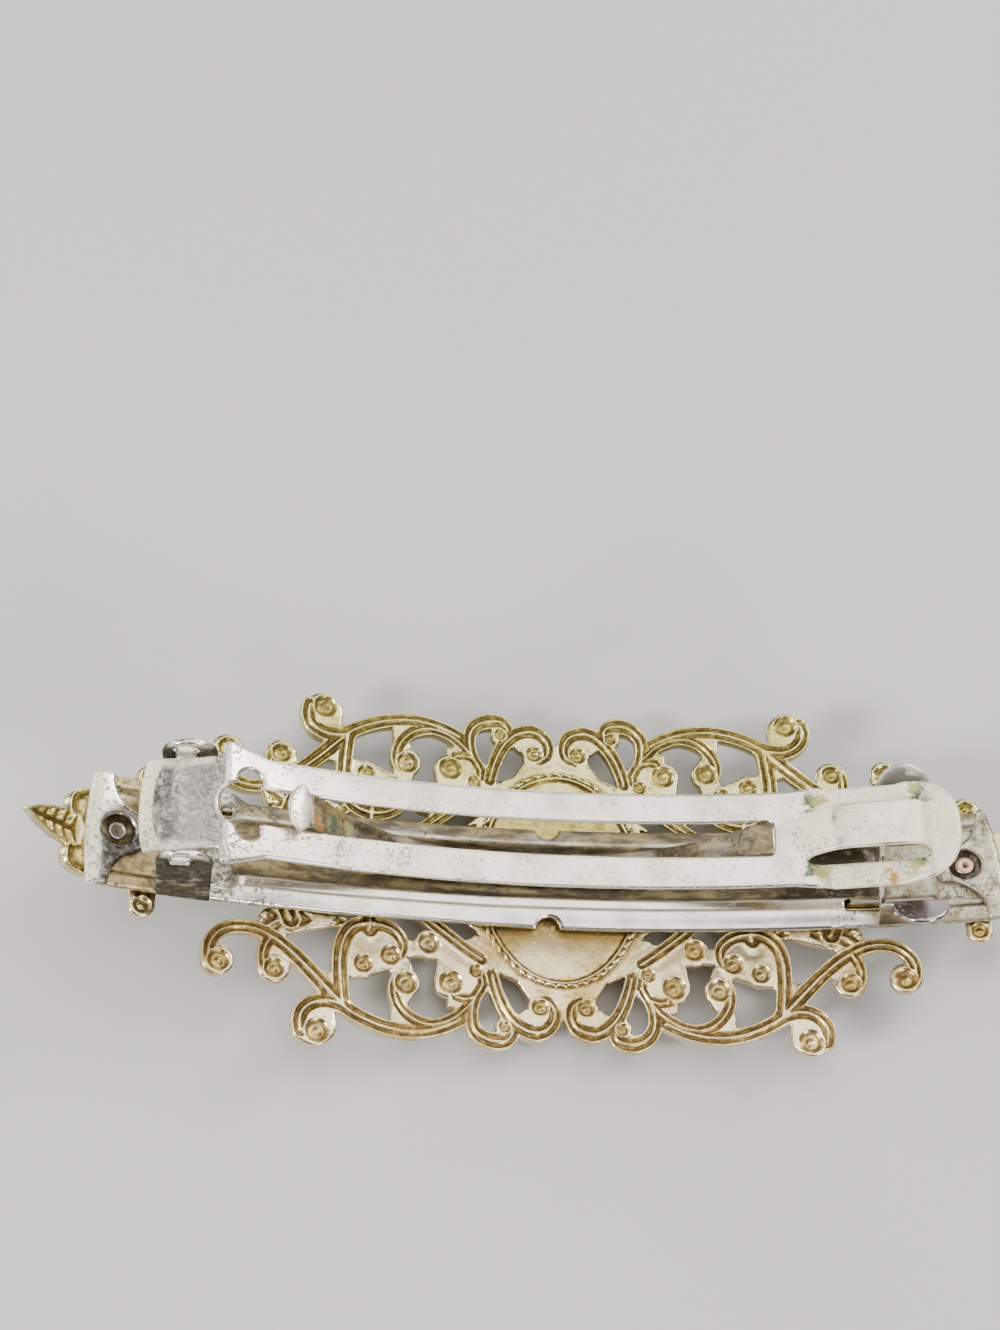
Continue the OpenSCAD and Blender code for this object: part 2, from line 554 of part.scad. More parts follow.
module clip_tongue() color("#d8d5cf") on_back() {
    intersection() {
        linear_extrude(tall) tongue_outline();
        translate([0, 0, tongue_h + tongue_r]) rotate([90, 0, 0]) difference() {
            cylinder(r = tongue_r + tongue_t / 2, h = 20, center = true, $fn = fine);
            cylinder(r = tongue_r - tongue_t / 2, h = 21, center = true, $fn = fine);
        }
    }
    strip(HEEL, tongue_t, 3.9);
    strip(STRAP, tongue_t, strap_half);
    strip(SPRING, spring_t, spring_half);
    spring_head();
    translate([pivot_x, 0, pivot_h]) cube([1.6, ear_w + 0.2, sheet_t], center = true);
}

// A rivet with a sunk lower head, and an upper head inside the hole of the flap
module rivet(x, bore) on_back() stand_on_bow(x) difference() {
    union() {
        translate([0, 0, head_top - head_t]) cylinder(d = lower_head_d, h = head_t);
        translate([0, 0, head_top - 0.1]) cylinder(d = rivet_d, h = 1.6);
        translate([0, 0, seat_gap + sheet_t + 0.03]) cylinder(d = upper_head_d, h = upper_head_t);
    }
    if (bore > 0) translate([0, 0, head_top]) cylinder(d = bore, h = 3);
}
module rivet_left() color("#cfc9bd") rivet(rivet_x0, 0.7);
module rivet_right() color("#b5764f") rivet(rivet_x1, 0);

filigree();
cameo_ground();
cameo_figure();
clip_base();
clip_tongue();
rivet_left();
rivet_right();
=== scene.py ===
import math

import bpy
import numpy as np
from mathutils import Matrix, Vector


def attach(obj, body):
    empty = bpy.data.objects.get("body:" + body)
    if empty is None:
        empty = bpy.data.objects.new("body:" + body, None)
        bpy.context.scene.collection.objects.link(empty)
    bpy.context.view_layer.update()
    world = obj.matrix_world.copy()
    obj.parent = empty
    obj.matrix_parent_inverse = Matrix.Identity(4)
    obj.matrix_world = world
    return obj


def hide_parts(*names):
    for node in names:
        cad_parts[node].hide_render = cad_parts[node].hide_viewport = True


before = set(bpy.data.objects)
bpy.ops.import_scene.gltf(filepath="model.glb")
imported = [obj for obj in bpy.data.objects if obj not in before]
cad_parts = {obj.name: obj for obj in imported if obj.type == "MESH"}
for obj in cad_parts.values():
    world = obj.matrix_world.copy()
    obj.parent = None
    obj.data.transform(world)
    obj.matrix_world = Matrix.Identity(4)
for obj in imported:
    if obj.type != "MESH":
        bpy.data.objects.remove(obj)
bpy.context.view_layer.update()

# Everything below is worked out in millimetres, in the part's own frame, and written to the meshes in metres.
MM = 0.001
COARSE = 1.0

# Driving dimensions of the barrette. Heights ending in _H are above the plate's bowed back.
BOW_R = 110.0  # radius of that bow
BACK_Z = 3.1  # the back's height above the floor, at the middle
WEB_T = 0.9
STEM_RISE = 0.45  # stems in front of the webs
BALL_RISE = 0.25  # balls in front of the stems
CAMEO_A, CAMEO_B = 6.5, 9.0  # half sizes
CLIP_L = 77.0  # between the folded ends
CLIP_X = -1.2  # middle of the clip
SHEET_T = 0.45  # steel of the base
SEAT_GAP = 0.35  # between the plate and the base
RIVET_X = (-37.6, 34.35)
EDGE_Y = 4.8  # half width of the base
PIVOT_X, PIVOT_H = -32.0, 13.7
TONGUE_R = 78.0  # radius of the tongue's bow
TONGUE_H = 9.4
TONGUE_T = 0.5
LEAF_X = 40.4  # where an end leaf starts
LEAF_L = 5.8
LEAF_TILT = math.radians(32)


# Small functions on arrays
def smooth(edge0, edge1, x):
    t = np.clip((x - edge0) / (edge1 - edge0), 0.0, 1.0)
    return t * t * (3.0 - 2.0 * t)


def smooth_min(a, b, k):
    h = np.clip(0.5 + 0.5 * (b - a) / k, 0.0, 1.0)
    return b + (a - b) * h - k * h * (1.0 - h)


def mix(a, b, t):
    return a * (1.0 - t) + b * t


def between(x, a, b, c, d):
    """Rises from a to b and falls from c to d."""
    return smooth(a, b, x) * smooth(d, c, x)


def bell(x, middle, width):
    return np.exp(-((x - middle) / width) ** 2)


def dome(q):
    """A round rise over -1 to 1."""
    return np.sqrt(np.clip(1 - q ** 2, 0, 1))


def wobble(x, y, scale, seed):
    """A smooth unevenness between -1 and 1, from a few crossed waves."""
    out = np.zeros_like(x)
    for i in range(5):
        a = seed * 1.7 + i * 2.4
        f = (0.6 + 0.35 * i) / scale
        out += np.sin(f * (x * math.cos(a) + y * math.sin(a)) * 2 * math.pi + seed + i * 1.3)
    return out / 5.0


# Signed distances in the plane: negative inside
def sd_disc(x, y, cx, cy, r):
    return np.hypot(x - cx, y - cy) - r


def sd_box(x, y, x0, x1, y0, y1, r=0.0):
    dx = np.abs(x - (x0 + x1) / 2) - (x1 - x0) / 2 + r
    dy = np.abs(y - (y0 + y1) / 2) - (y1 - y0) / 2 + r
    outside = np.hypot(np.maximum(dx, 0), np.maximum(dy, 0))
    return outside + np.minimum(np.maximum(dx, dy), 0) - r


def sd_segment(x, y, ax, ay, bx, by):
    """Distance to a straight piece, and how far along it the nearest point lies."""
    ux, uy = bx - ax, by - ay
    t = np.clip(((x - ax) * ux + (y - ay) * uy) / max(ux * ux + uy * uy, 1e-9), 0.0, 1.0)
    return np.hypot(x - ax - t * ux, y - ay - t * uy), t


def sd_cone(x, y, ax, ay, ra, bx, by, rb):
    """The hull of two discs."""
    h = math.hypot(bx - ax, by - ay)
    if h < 1e-6 or abs(ra - rb) >= h:
        return np.minimum(sd_disc(x, y, ax, ay, ra), sd_disc(x, y, bx, by, rb))
    ux, uy = (bx - ax) / h, (by - ay) / h
    along = (x - ax) * ux + (y - ay) * uy
    across = np.abs((x - ax) * uy - (y - ay) * ux)
    b = (ra - rb) / h
    a = math.sqrt(1 - b * b)
    k = -b * across + a * along
    mid = a * across + b * along - ra
    out = np.where(k < 0, np.hypot(across, along) - ra, mid)
    return np.where(k > a * h, np.hypot(across, along - h) - rb, out)


def sd_polygon(x, y, points):
    """A closed outline of straight sides."""
    d = np.full(x.shape, 1e9)
    inside = np.zeros(x.shape, bool)
    n = len(points)
    for i in range(n):
        ax, ay = points[i]
        bx, by = points[(i + 1) % n]
        d = np.minimum(d, sd_segment(x, y, ax, ay, bx, by)[0])
        crosses = (ay > y) != (by > y)
        side = (bx - ax) * (y - ay) / (by - ay if by != ay else 1e-9) + ax
        inside ^= crosses & (x < side)
    return np.where(inside, -d, d)


def sd_hull(x, y, row):
    """The hull of three discs, given as x, y and radius in one row."""
    discs = [row[k:k + 3] for k in (0, 3, 6)]
    d = sd_polygon(x, y, [c[:2] for c in discs])
    for a, b in zip(discs, discs[1:] + discs[:1]):
        d = np.minimum(d, sd_cone(x, y, *a, *b))
    return d


def sd_oval(x, y, a, b):
    k = np.hypot(x / a, y / b)
    slope = np.hypot(x / (a * a), y / (b * b))
    return k * (k - 1.0) / np.maximum(slope, 1e-6)


# Paths: a line in the XZ plane that a sheet follows. p is the place along it.
class Path:
    def __init__(self, p, points):
        self.p = np.asarray(p, float)
        q = np.asarray(points, float)
        d = np.gradient(q, axis=0)
        d /= np.maximum(np.linalg.norm(d, axis=1, keepdims=True), 1e-9)
        self.q, self.d = q, d

    def place(self, p, y, n):
        """The point n millimetres off the path, to its left when it runs towards +X."""
        x, z, dx, dz = (np.interp(p, self.p, a) for a in (*self.q.T, *self.d.T))
        length = np.maximum(np.hypot(dx, dz), 1e-9)
        return np.stack([x - n * dz / length, y, z + n * dx / length], -1)


def arc_lengths(points):
    steps = np.linalg.norm(np.diff(points, axis=0), axis=1)
    return np.concatenate([[0.0], np.cumsum(steps)])


def rounded(points):
    """Cuts the corners of a line four times, and keeps its two ends."""
    q = np.asarray(points, float)
    for _ in range(4):
        a = q[:-1] * 0.75 + q[1:] * 0.25
        b = q[:-1] * 0.25 + q[1:] * 0.75
        q = np.concatenate([q[:1], np.stack([a, b], 1).reshape(-1, 2), q[-1:]])
    return q


def bow_rise(x):
    return BOW_R - np.sqrt(BOW_R ** 2 - x ** 2)


def bow_xz(x, h):
    a = np.arcsin(np.asarray(x, float) / BOW_R)
    return np.stack([(BOW_R - h) * np.sin(a), BACK_Z + BOW_R - (BOW_R - h) * np.cos(a)], -1)


def stand(x0, dx, y, h):
    """A point in the upright frame that stands on the bow at x0."""
    a = math.asin(x0 / BOW_R)
    dx, y, h = np.broadcast_arrays(np.asarray(dx, float), y, h)
    return np.stack([dx * math.cos(a) + (BOW_R - h) * math.sin(a), y,
                     BACK_Z + BOW_R + dx * math.sin(a) - (BOW_R - h) * math.cos(a)], -1)


def upright(x, y, h):
    """A point at height h above the level of the back's middle."""
    return np.stack([x, y, BACK_Z + h], -1)


# Marching squares: corners are 0 to 3 and edge points 4 to 7, all counter-clockwise
CELLS = {1: [(0, 4, 7)], 2: [(1, 5, 4)], 3: [(0, 1, 5, 7)], 4: [(2, 6, 5)], 5: [(0, 4, 7), (2, 6, 5)],
         6: [(1, 2, 6, 4)], 7: [(0, 1, 2, 6, 7)], 8: [(3, 7, 6)], 9: [(0, 4, 6, 3)],
         10: [(1, 5, 4), (3, 7, 6)], 11: [(0, 1, 5, 6, 3)], 12: [(2, 3, 7, 5)], 13: [(0, 4, 5, 2, 3)],
         14: [(1, 2, 3, 7, 4)], 15: [(0, 1, 2, 3)]}


EDGE_REACH = 0.25  # how far in from the outline the mark "edge" fades


def edge_drop(d, r):
    """How far a surface falls at a rounded edge, at signed distance d from the outline."""
    inward = np.clip(-d, 0.0, r)
    return r - np.sqrt(np.maximum(r * r - (r - inward) ** 2, 0.0))


def sheet(d, lift, thick, **marks):
    """What a field gives for a sheet of even thickness."""
    return {"d": d, "top": lift + thick / 2, "bottom": lift - thick / 2, **marks}


def sheet_part(xs, ys, field, place, round_top, round_bottom):
    """A thin closed sheet over a grid. field(x, y) gives the signed distance, the top, the bottom and marks.
    place(x, y, n) puts a point of it in space. Returns points, faces by size and marks by name."""
    nx, ny = len(xs), len(ys)
    gx, gy = np.meshgrid(xs, ys, indexing="ij")
    data = {k: v + 0.0 * gx for k, v in field(gx, gy).items()}
    d = data["d"] = np.where(np.abs(data["d"]) < 1e-6, -1e-6, data["d"])
    n = nx * ny
    inside = d < 0
    cell = (inside[:-1, :-1] * 1 + inside[1:, :-1] * 2 + inside[1:, 1:] * 4 + inside[:-1, 1:] * 8)
    ids = np.arange(n).reshape(nx, ny)
    i, j = np.meshgrid(np.arange(nx - 1), np.arange(ny - 1), indexing="ij")
    corner = [ids[i, j], ids[i + 1, j], ids[i + 1, j + 1], ids[i, j + 1],
              n + ids[i, j], 2 * n + ids[i + 1, j], n + ids[i, j + 1], 2 * n + ids[i, j]]
    polys, rims = {}, []
    for case, shapes in CELLS.items():
        at = cell == case
        if not at.any():
            continue
        for shape in shapes:
            polys.setdefault(len(shape), []).append(np.stack([corner[k][at] for k in shape], -1))
            for a, b in zip(shape, shape[1:] + shape[:1]):
                if a > 3 and b > 3:
                    rims.append(np.stack([corner[a][at], corner[b][at]], -1))
    polys = {k: np.concatenate(v) for k, v in polys.items()}
    rims = np.concatenate(rims) if rims else np.zeros((0, 2), int)
    # only the corners and edge points that a face uses become points of the mesh
    used = np.unique(np.concatenate([v.ravel() for v in polys.values()]))
    kind, base = used // n, used % n
    bi, bj = base // ny, base % ny
    oi = np.minimum(bi + (kind == 1), nx - 1)
    oj = np.minimum(bj + (kind == 2), ny - 1)
    d0, d1 = d[bi, bj], d[oi, oj]
    t = np.where(kind > 0, np.clip(d0 / np.where(d0 == d1, 1, d0 - d1), 0.03, 0.97), 0.0)
    values = {k: mix(data[k][bi, bj], data[k][oi, oj], t) for k in data}
    px, py = mix(gx[bi, bj], gx[oi, oj], t), mix(gy[bi, bj], gy[oi, oj], t)
    values["d"] = np.where(kind > 0, 0.0, values["d"])
    top = values["top"] - edge_drop(values["d"], round_top)
    bottom = values["bottom"] + edge_drop(values["d"], round_bottom)
    index = np.zeros(3 * n, int)
    index[used] = np.arange(len(used))
    m = len(used)
    points = np.concatenate([place(px, py, top), place(px, py, bottom)])
    faces = {}
    for size, p in polys.items():
        p = index[p]
        faces.setdefault(size, []).extend([p, p[:, ::-1] + m])
    if len(rims):
        a, b = index[rims[:, 0]], index[rims[:, 1]]
        faces.setdefault(4, []).append(np.stack([a, a + m, b + m, b], -1))
    marks = {"edge": np.exp(values["d"] / EDGE_REACH)}
    marks.update((k, v) for k, v in values.items() if k not in ("d", "top", "bottom"))
    return (points, {k: np.concatenate(v) for k, v in faces.items()},
            {k: np.concatenate([v, v]) for k, v in marks.items()})


def grid(low, high, step):
    step *= COARSE
    return np.linspace(low, high, max(int(round((high - low) / step)), 2) + 1)


def mirrored(part):
    """The same part on the other side of the long middle line."""
    points, faces, marks = part
    points = points * [1, -1, 1]
    return points, {k: v[:, ::-1] for k, v in faces.items()}, marks


def joined(parts):
    """Several parts as one. A mark that one of them lacks is zero there."""
    points, marks, faces, offset = [], {}, {}, 0
    names = sorted({k for p in parts for k in p[2]})
    for p, f, m in parts:
        points.append(p)
        for k, v in f.items():
            faces.setdefault(k, []).append(v + offset)
        for k in names:
            marks.setdefault(k, []).append(m.get(k, np.zeros(len(p))))
        offset += len(p)
    return (np.concatenate(points), {k: np.concatenate(v) for k, v in faces.items()},
            {k: np.concatenate(v) for k, v in marks.items()})


def make_piece(name, part, material, body, nodes, keep=None):
    """A Blender object from points, faces and marks, thinned to at most `keep` triangles."""
    points, faces, marks = part
    mesh = bpy.data.meshes.new(name)
    mesh.vertices.add(len(points))
    mesh.vertices.foreach_set("co", (points * MM).astype(np.float32).ravel())
    order = sorted(faces)
    loops = np.concatenate([faces[k].ravel() for k in order])
    sizes = np.concatenate([np.full(len(faces[k]), k) for k in order])
    mesh.loops.add(len(loops))
    mesh.loops.foreach_set("vertex_index", loops.astype(np.int32))
    mesh.polygons.add(len(sizes))
    mesh.polygons.foreach_set("loop_start", (np.cumsum(sizes) - sizes).astype(np.int32))
    mesh.update(calc_edges=True)
    mesh.validate()
    for k, v in marks.items():
        mesh.attributes.new(k, "FLOAT", "POINT").data.foreach_set("value", v.astype(np.float32))
    mesh.polygons.foreach_set("use_smooth", np.ones(len(mesh.polygons), bool))
    obj = linked(name, mesh)
    count = sum((k - 2) * len(v) for k, v in faces.items())
    if keep and count > keep:
        thin = obj.modifiers.new("thin", "DECIMATE")
        thin.ratio = keep / count
        graph = bpy.context.evaluated_depsgraph_get()
        mesh = bpy.data.meshes.new_from_object(obj.evaluated_get(graph))
        obj.modifiers.clear()
        obj.data = mesh
    mesh.materials.append(material)
    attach(obj, body)
    if nodes:
        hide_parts(*nodes)
    return obj


# Materials
class Graph:
    """Short ways to add shader nodes."""

    def __init__(self, name):
        self.material = bpy.data.materials.new(name)
        self.material.use_nodes = True
        self.nodes = self.material.node_tree.nodes
        self.links = self.material.node_tree.links
        self.shader = self.nodes["Principled BSDF"]
        self.place = self.nodes.new("ShaderNodeTexCoord").outputs["Object"]

    def fed(self, node, inputs):
        """The node itself, with its inputs set or linked."""
        for name, value in inputs.items():
            socket = node.inputs[name]
            if hasattr(value, "links"):
                self.links.new(value, socket)
            else:
                socket.default_value = (*value, 1.0) if socket.type == "RGBA" else value
        return node

    def math(self, operation, a, b=0.0, clamp=False):
        node = self.nodes.new("ShaderNodeMath")
        node.operation, node.use_clamp = operation, clamp
        return self.fed(node, {0: a, 1: b}).outputs[0]

    def times(self, a, b):
        return self.math("MULTIPLY", a, b)

    def add(self, a, b, share=1.0):
        """a + b * share"""
        return self.math("ADD", a, b if share == 1.0 else self.times(b, share))

    def noise(self, scale, detail=3.0, rough=0.55, stretch=(1, 1, 1), shift=(0, 0, 0)):
        mapping = self.nodes.new("ShaderNodeMapping")
        place = self.fed(mapping, {"Vector": self.place, "Scale": stretch, "Location": shift}).outputs[0]
        inputs = {"Vector": place, "Scale": scale, "Detail": detail, "Roughness": rough}
        return self.fed(self.nodes.new("ShaderNodeTexNoise"), inputs).outputs["Fac"]

    def span(self, value, low, high, to_low=0.0, to_high=1.0):
        node = self.nodes.new("ShaderNodeMapRange")
        node.interpolation_type = "SMOOTHSTEP"
        inputs = {"Value": value, "From Min": low, "From Max": high, "To Min": to_low, "To Max": to_high}
        return self.fed(node, inputs).outputs["Result"]

    def blend(self, a, b, amount):
        node = self.nodes.new("ShaderNodeMix")
        node.data_type = "RGBA"
        return self.fed(node, {"Factor": amount, 6: a, 7: b}).outputs[2]

    def mark(self, name):
        node = self.nodes.new("ShaderNodeAttribute")
        node.attribute_name = name
        return node.outputs["Fac"]

    def axis(self, letter):
        return self.fed(self.nodes.new("ShaderNodeSeparateXYZ"), {0: self.place}).outputs[letter]

    def spot(self, point, radius, ragged=4.8, core=0.3):
        """A ragged stain round a point given in millimetres, full within its core."""
        node = self.nodes.new("ShaderNodeVectorMath")
        node.operation = "DISTANCE"
        self.fed(node, {0: self.place, 1: [v * MM for v in point]})
        torn = self.math("SUBTRACT", self.noise(1100, 5, 0.7), 0.5)
        far = self.add(node.outputs["Value"], torn, ragged * radius * MM)
        return self.span(far, core * radius * MM, radius * MM, 1.0, 0.0)

    def bump(self, height, strength, distance):
        inputs = {"Strength": strength, "Distance": distance * MM, "Height": height}
        node = self.fed(self.nodes.new("ShaderNodeBump"), inputs)
        self.fed(self.shader, {"Normal": node.outputs["Normal"]})

    def finish(self, colour, roughness, metallic=1.0, **more):
        self.fed(self.shader, {"Base Color": colour, "Roughness": roughness, "Metallic": metallic, **more})
        return self.material


def cast_metal():
    """Gold-tone pot metal: bright silvery high places, brown in its grooves."""
    g = Graph("cast_metal")
    deep = g.mark("cavity")
    patch = g.noise(260, 5, 0.6)
    fine = g.noise(1700, 5, 0.7)
    far_side = g.span(g.axis("Y"), -0.008, 0.006)
    silver = g.blend((0.82, 0.70, 0.45), (0.70, 0.63, 0.32), far_side)
    gold = g.blend((0.53, 0.37, 0.13), (0.45, 0.36, 0.10), far_side)
    gild = g.add(g.times(deep, 0.5), patch, 1.15)
    body = g.blend(silver, gold, g.span(gild, 0.46, 0.92))
    soot = g.add(g.times(deep, 0.42), fine, 0.75)
    soot = g.add(soot, g.noise(520, 3, 0.6, shift=(2, 5, 1)), 0.35)
    brown = g.span(soot, 0.68, 1.06)
    colour = g.blend(body, (0.075, 0.043, 0.016), g.times(brown, 0.92))
    specks = g.times(g.span(g.noise(3000, 4, 0.75), 0.57, 0.66), g.span(patch, 0.42, 0.62))
    colour = g.blend(colour, (0.17, 0.12, 0.06), g.times(specks, 0.75))
    worn = g.add(g.times(patch, 0.22), brown, 0.3)
    g.bump(g.math("SUBTRACT", g.noise(2100, 4, 0.6), specks), 0.42, 0.06)
    return g.finish(colour, g.add(worn, 0.15))


def nickel(name, stains=(), tint=(0.93, 0.89, 0.84), rough=0.16, pit=(0.16, 0.15, 0.13), grit=2300):
    """Nickel-plated steel. Marks on the mesh say where it is tarnished or painted with shade, dark, pitted or gilt,
    and where painted highlights and painted reflections lie.
    A stain is a list of places, their radius, its colour and how much it dulls the metal."""
    g = Graph(name)
    cloud = g.noise(330, 5, 0.6)
    fine = g.noise(grit, 6, 0.75)
    streak = g.noise(800, 5, 0.65, stretch=(0.22, 1.6, 1.0), shift=(0.3, 0.1, 0.7))
    colour = g.blend(tint, tuple(0.80 * c for c in tint), g.span(cloud, 0.38, 0.66))
    roughness = g.add(g.times(cloud, 0.2), rough)

    def lay(over, mask, share, rougher):
        """One more layer: its colour, where it lies, how much of it, and how much rougher it makes the metal."""
        nonlocal colour, roughness
        colour = g.blend(colour, over, mask if share == 1 else g.times(mask, share))
        roughness = g.add(roughness, mask, rougher)

    def around(name, noise, share):
        """A mark that the noise eats into and spreads."""
        return g.add(g.mark(name), g.math("SUBTRACT", noise, 0.5), share)

    # painted highlight: a matte cream patch, less metallic, laid where the steel should shine bright
    cream = g.span(around("cream", g.noise(600, 4), 1.2), 0.32, 0.75)
    lay((0.90, 0.82, 0.64), cream, 1, 0.25)
    # painted dark reflection: mottled near-black on mirror-bright places, standing in for what they reflect
    frost = g.times(g.mark("frost"), g.span(g.noise(1500, 6, 0.7), 0.30, 0.56))
    lay((0.050, 0.054, 0.056), frost, 0.94, 0.16)
    # tarnish: brown and gold-brown streaks; on shaded faces the same layer paints shade
    tarnish = g.span(around("tarnish", streak, 1.0), 0.10, 0.62)
    patchy = g.span(g.noise(950, 5, 0.65, stretch=(0.4, 1.2, 1.0)), 0.38, 0.64)
    lay(g.blend((0.085, 0.062, 0.025), (0.46, 0.36, 0.16), patchy), tarnish, 0.93, 0.14)
    # gold and tan mottling, tan towards the clasp
    mottle = g.span(g.noise(1150, 6, 0.72, shift=(1, 4, 2)), 0.36, 0.64)
    light_tan = g.blend((0.66, 0.52, 0.27), (0.60, 0.57, 0.45), g.span(g.axis("X"), -0.030, 0.025))
    gilt = g.times(g.mark("gilt"), g.span(g.noise(420, 4, 0.6, shift=(4, 0, 3)), 0.28, 0.5, 0.55, 1.0))
    lay(g.blend((0.27, 0.20, 0.075), light_tan, mottle), gilt, 1, 0.22)
    # dark: near-black; painted shade on faces in shadow, and also dark marks such as the collars round the rivets
    dark = g.times(g.mark("dark"), g.span(g.noise(700, 4, 0.6), 0.2, 0.5))
    lay((0.030, 0.022, 0.009), dark, 1, 0.6)
    metal = g.math("SUBTRACT", 1.0, g.times(dark, 0.7))
    metal = g.math("SUBTRACT", metal, g.times(cream, 0.6), clamp=True)
    # painted reflection: a dim mauve-grey over the near paddle's mirror face
    colour = g.blend(colour, (0.40, 0.34, 0.37), g.times(g.mark("mauve"), 0.9))
    # pits, thick where the mesh says so and thin elsewhere
    thin = g.span(g.noise(380, 3, 0.6, shift=(3, 1, 2)), 0.42, 0.68)
    often = g.add(g.times(g.mark("pits"), 0.085), thin, 0.075)
    pits = g.span(g.add(fine, often), 0.60, 0.66)
    lay(pit, pits, 0.85, 0.3)
    for points, radius, stain, share in stains:
        mask = g.spot(points[0], radius)
        for point in points[1:]:
            mask = g.math("MAXIMUM", mask, g.spot(point, radius))
        lay(stain, mask, 1, 0.3)
        metal = g.math("SUBTRACT", metal, g.times(mask, share), clamp=True)
    grain = g.noise(900, 3, 0.6, stretch=(0.12, 3.2, 1.0))
    relief = g.math("SUBTRACT", g.times(cloud, 0.6), g.times(pits, 1.4))
    g.bump(g.add(g.times(grain, 0.3), relief), 0.28, 0.04)
    return g.finish(colour, roughness, metal)


def copper():
    g = Graph("copper_rivet")
    tone = g.blend((0.72, 0.45, 0.31), (0.42, 0.24, 0.15), g.span(g.noise(1500, 4), 0.4, 0.7))
    return g.finish(g.blend(tone, (0.12, 0.07, 0.04), g.mark("cavity")), 0.34)


def shell_ground():
    g = Graph("cameo_ground")
    bands = g.noise(120, 4, 0.5, stretch=(1, 0.35, 1))
    colour = g.blend((0.32, 0.085, 0.045), (0.55, 0.22, 0.12), g.span(bands, 0.35, 0.7))
    return g.finish(colour, 0.26, 0.0, **{"Coat Weight": 0.4, "Coat Roughness": 0.12})


def carved_relief():
    g = Graph("cameo_relief")
    thin = g.span(g.add(g.mark("height"), g.noise(500, 3), 0.25), 0.05, 0.75)
    colour = g.blend((0.83, 0.62, 0.48), (0.93, 0.885, 0.80), thin)
    g.bump(g.noise(2600, 3, 0.5), 0.12, 0.03)
    skin = {"Subsurface Weight": 0.15, "Subsurface Radius": (0.0010, 0.0005, 0.0003)}
    return g.finish(colour, 0.42, 0.0, **skin)


# The filigree plate. Only one quarter is listed; it is mirrored into all four.
# Stems: start x y, two handles x y, end x y, start width, end width
STEMS = [
    (5.98, 8.75, 5.6, 10.7, 4.6, 13.6, 2.3, 13.7, 1.1, 1.5),
    (2.35, 13.65, 0.45, 13.6, 0.15, 11.2, 1.6, 10.85, 1.5, 0.9),
    (6.7, 9.6, 8, 11.4, 8.5, 14.1, 5.9, 14.5, 0.9, 1.5),
    (5.9, 14.5, 4.6, 14.7, 3.9, 13.8, 4.7, 13.2, 1.5, 0.9),
    (6.83, 9.05, 6.65, 10.29, 7.53, 11.33, 9.01, 10.86, 0.91, 0.97),
    (6.85, 7.55, 8.1, 6.8, 9.4, 5.8, 11.8, 3.9, 1.1, 1.2), (7.4, 10.8, 8.6, 12.6, 10.2, 13.4, 11.6, 13.3, 1, 1),
    (11.63, 13.3, 13.59, 13.01, 14.91, 10.67, 13.9, 9.35, 1.2, 0.94),
    (8.67, 12.73, 10.8, 13.99, 14.22, 14.92, 18.39, 12.29, 1.2, 1.33),
    (18.5, 12.2, 18.85, 9.4, 19.6, 4.95, 16.2, 4.95, 1.4, 1.5),
    (16.2, 4.95, 14.3, 4.95, 13, 6.3, 13.8, 7.6, 1.5, 0.9),
    (18.6, 12, 20.5, 10.3, 23, 7.2, 25.6, 6.4, 1.6, 1.2),
    (25.6, 6.4, 28.3, 5.6, 30.2, 7.6, 29.35, 9.4, 1.2, 1.1),
    (24.6, 7, 25.3, 8, 25.2, 9, 24.9, 9.6, 1.1, 0.9),
    (18.4, 12.2, 20.6, 11.2, 22.6, 12.6, 21.9, 14.5, 1.5, 1.3),
    (11.8, 3.9, 12.6, 3.2, 13, 2.4, 13.2, 1.4, 1.2, 1.2),
    (16.35, 5.5, 16.35, 4, 16.35, 3, 16.35, 1.4, 1.6, 1.6),
    (23, 5.2, 23.4, 4, 23.8, 2.8, 24.2, 1.4, 1.8, 1.8), (33.6, 1.4, 34.2, 3, 34.9, 4, 35, 5.3, 1.8, 1.6),
    (23.9, 2.95, 27, 3.05, 30, 3.05, 34.2, 2.95, 1.2, 1.2)]

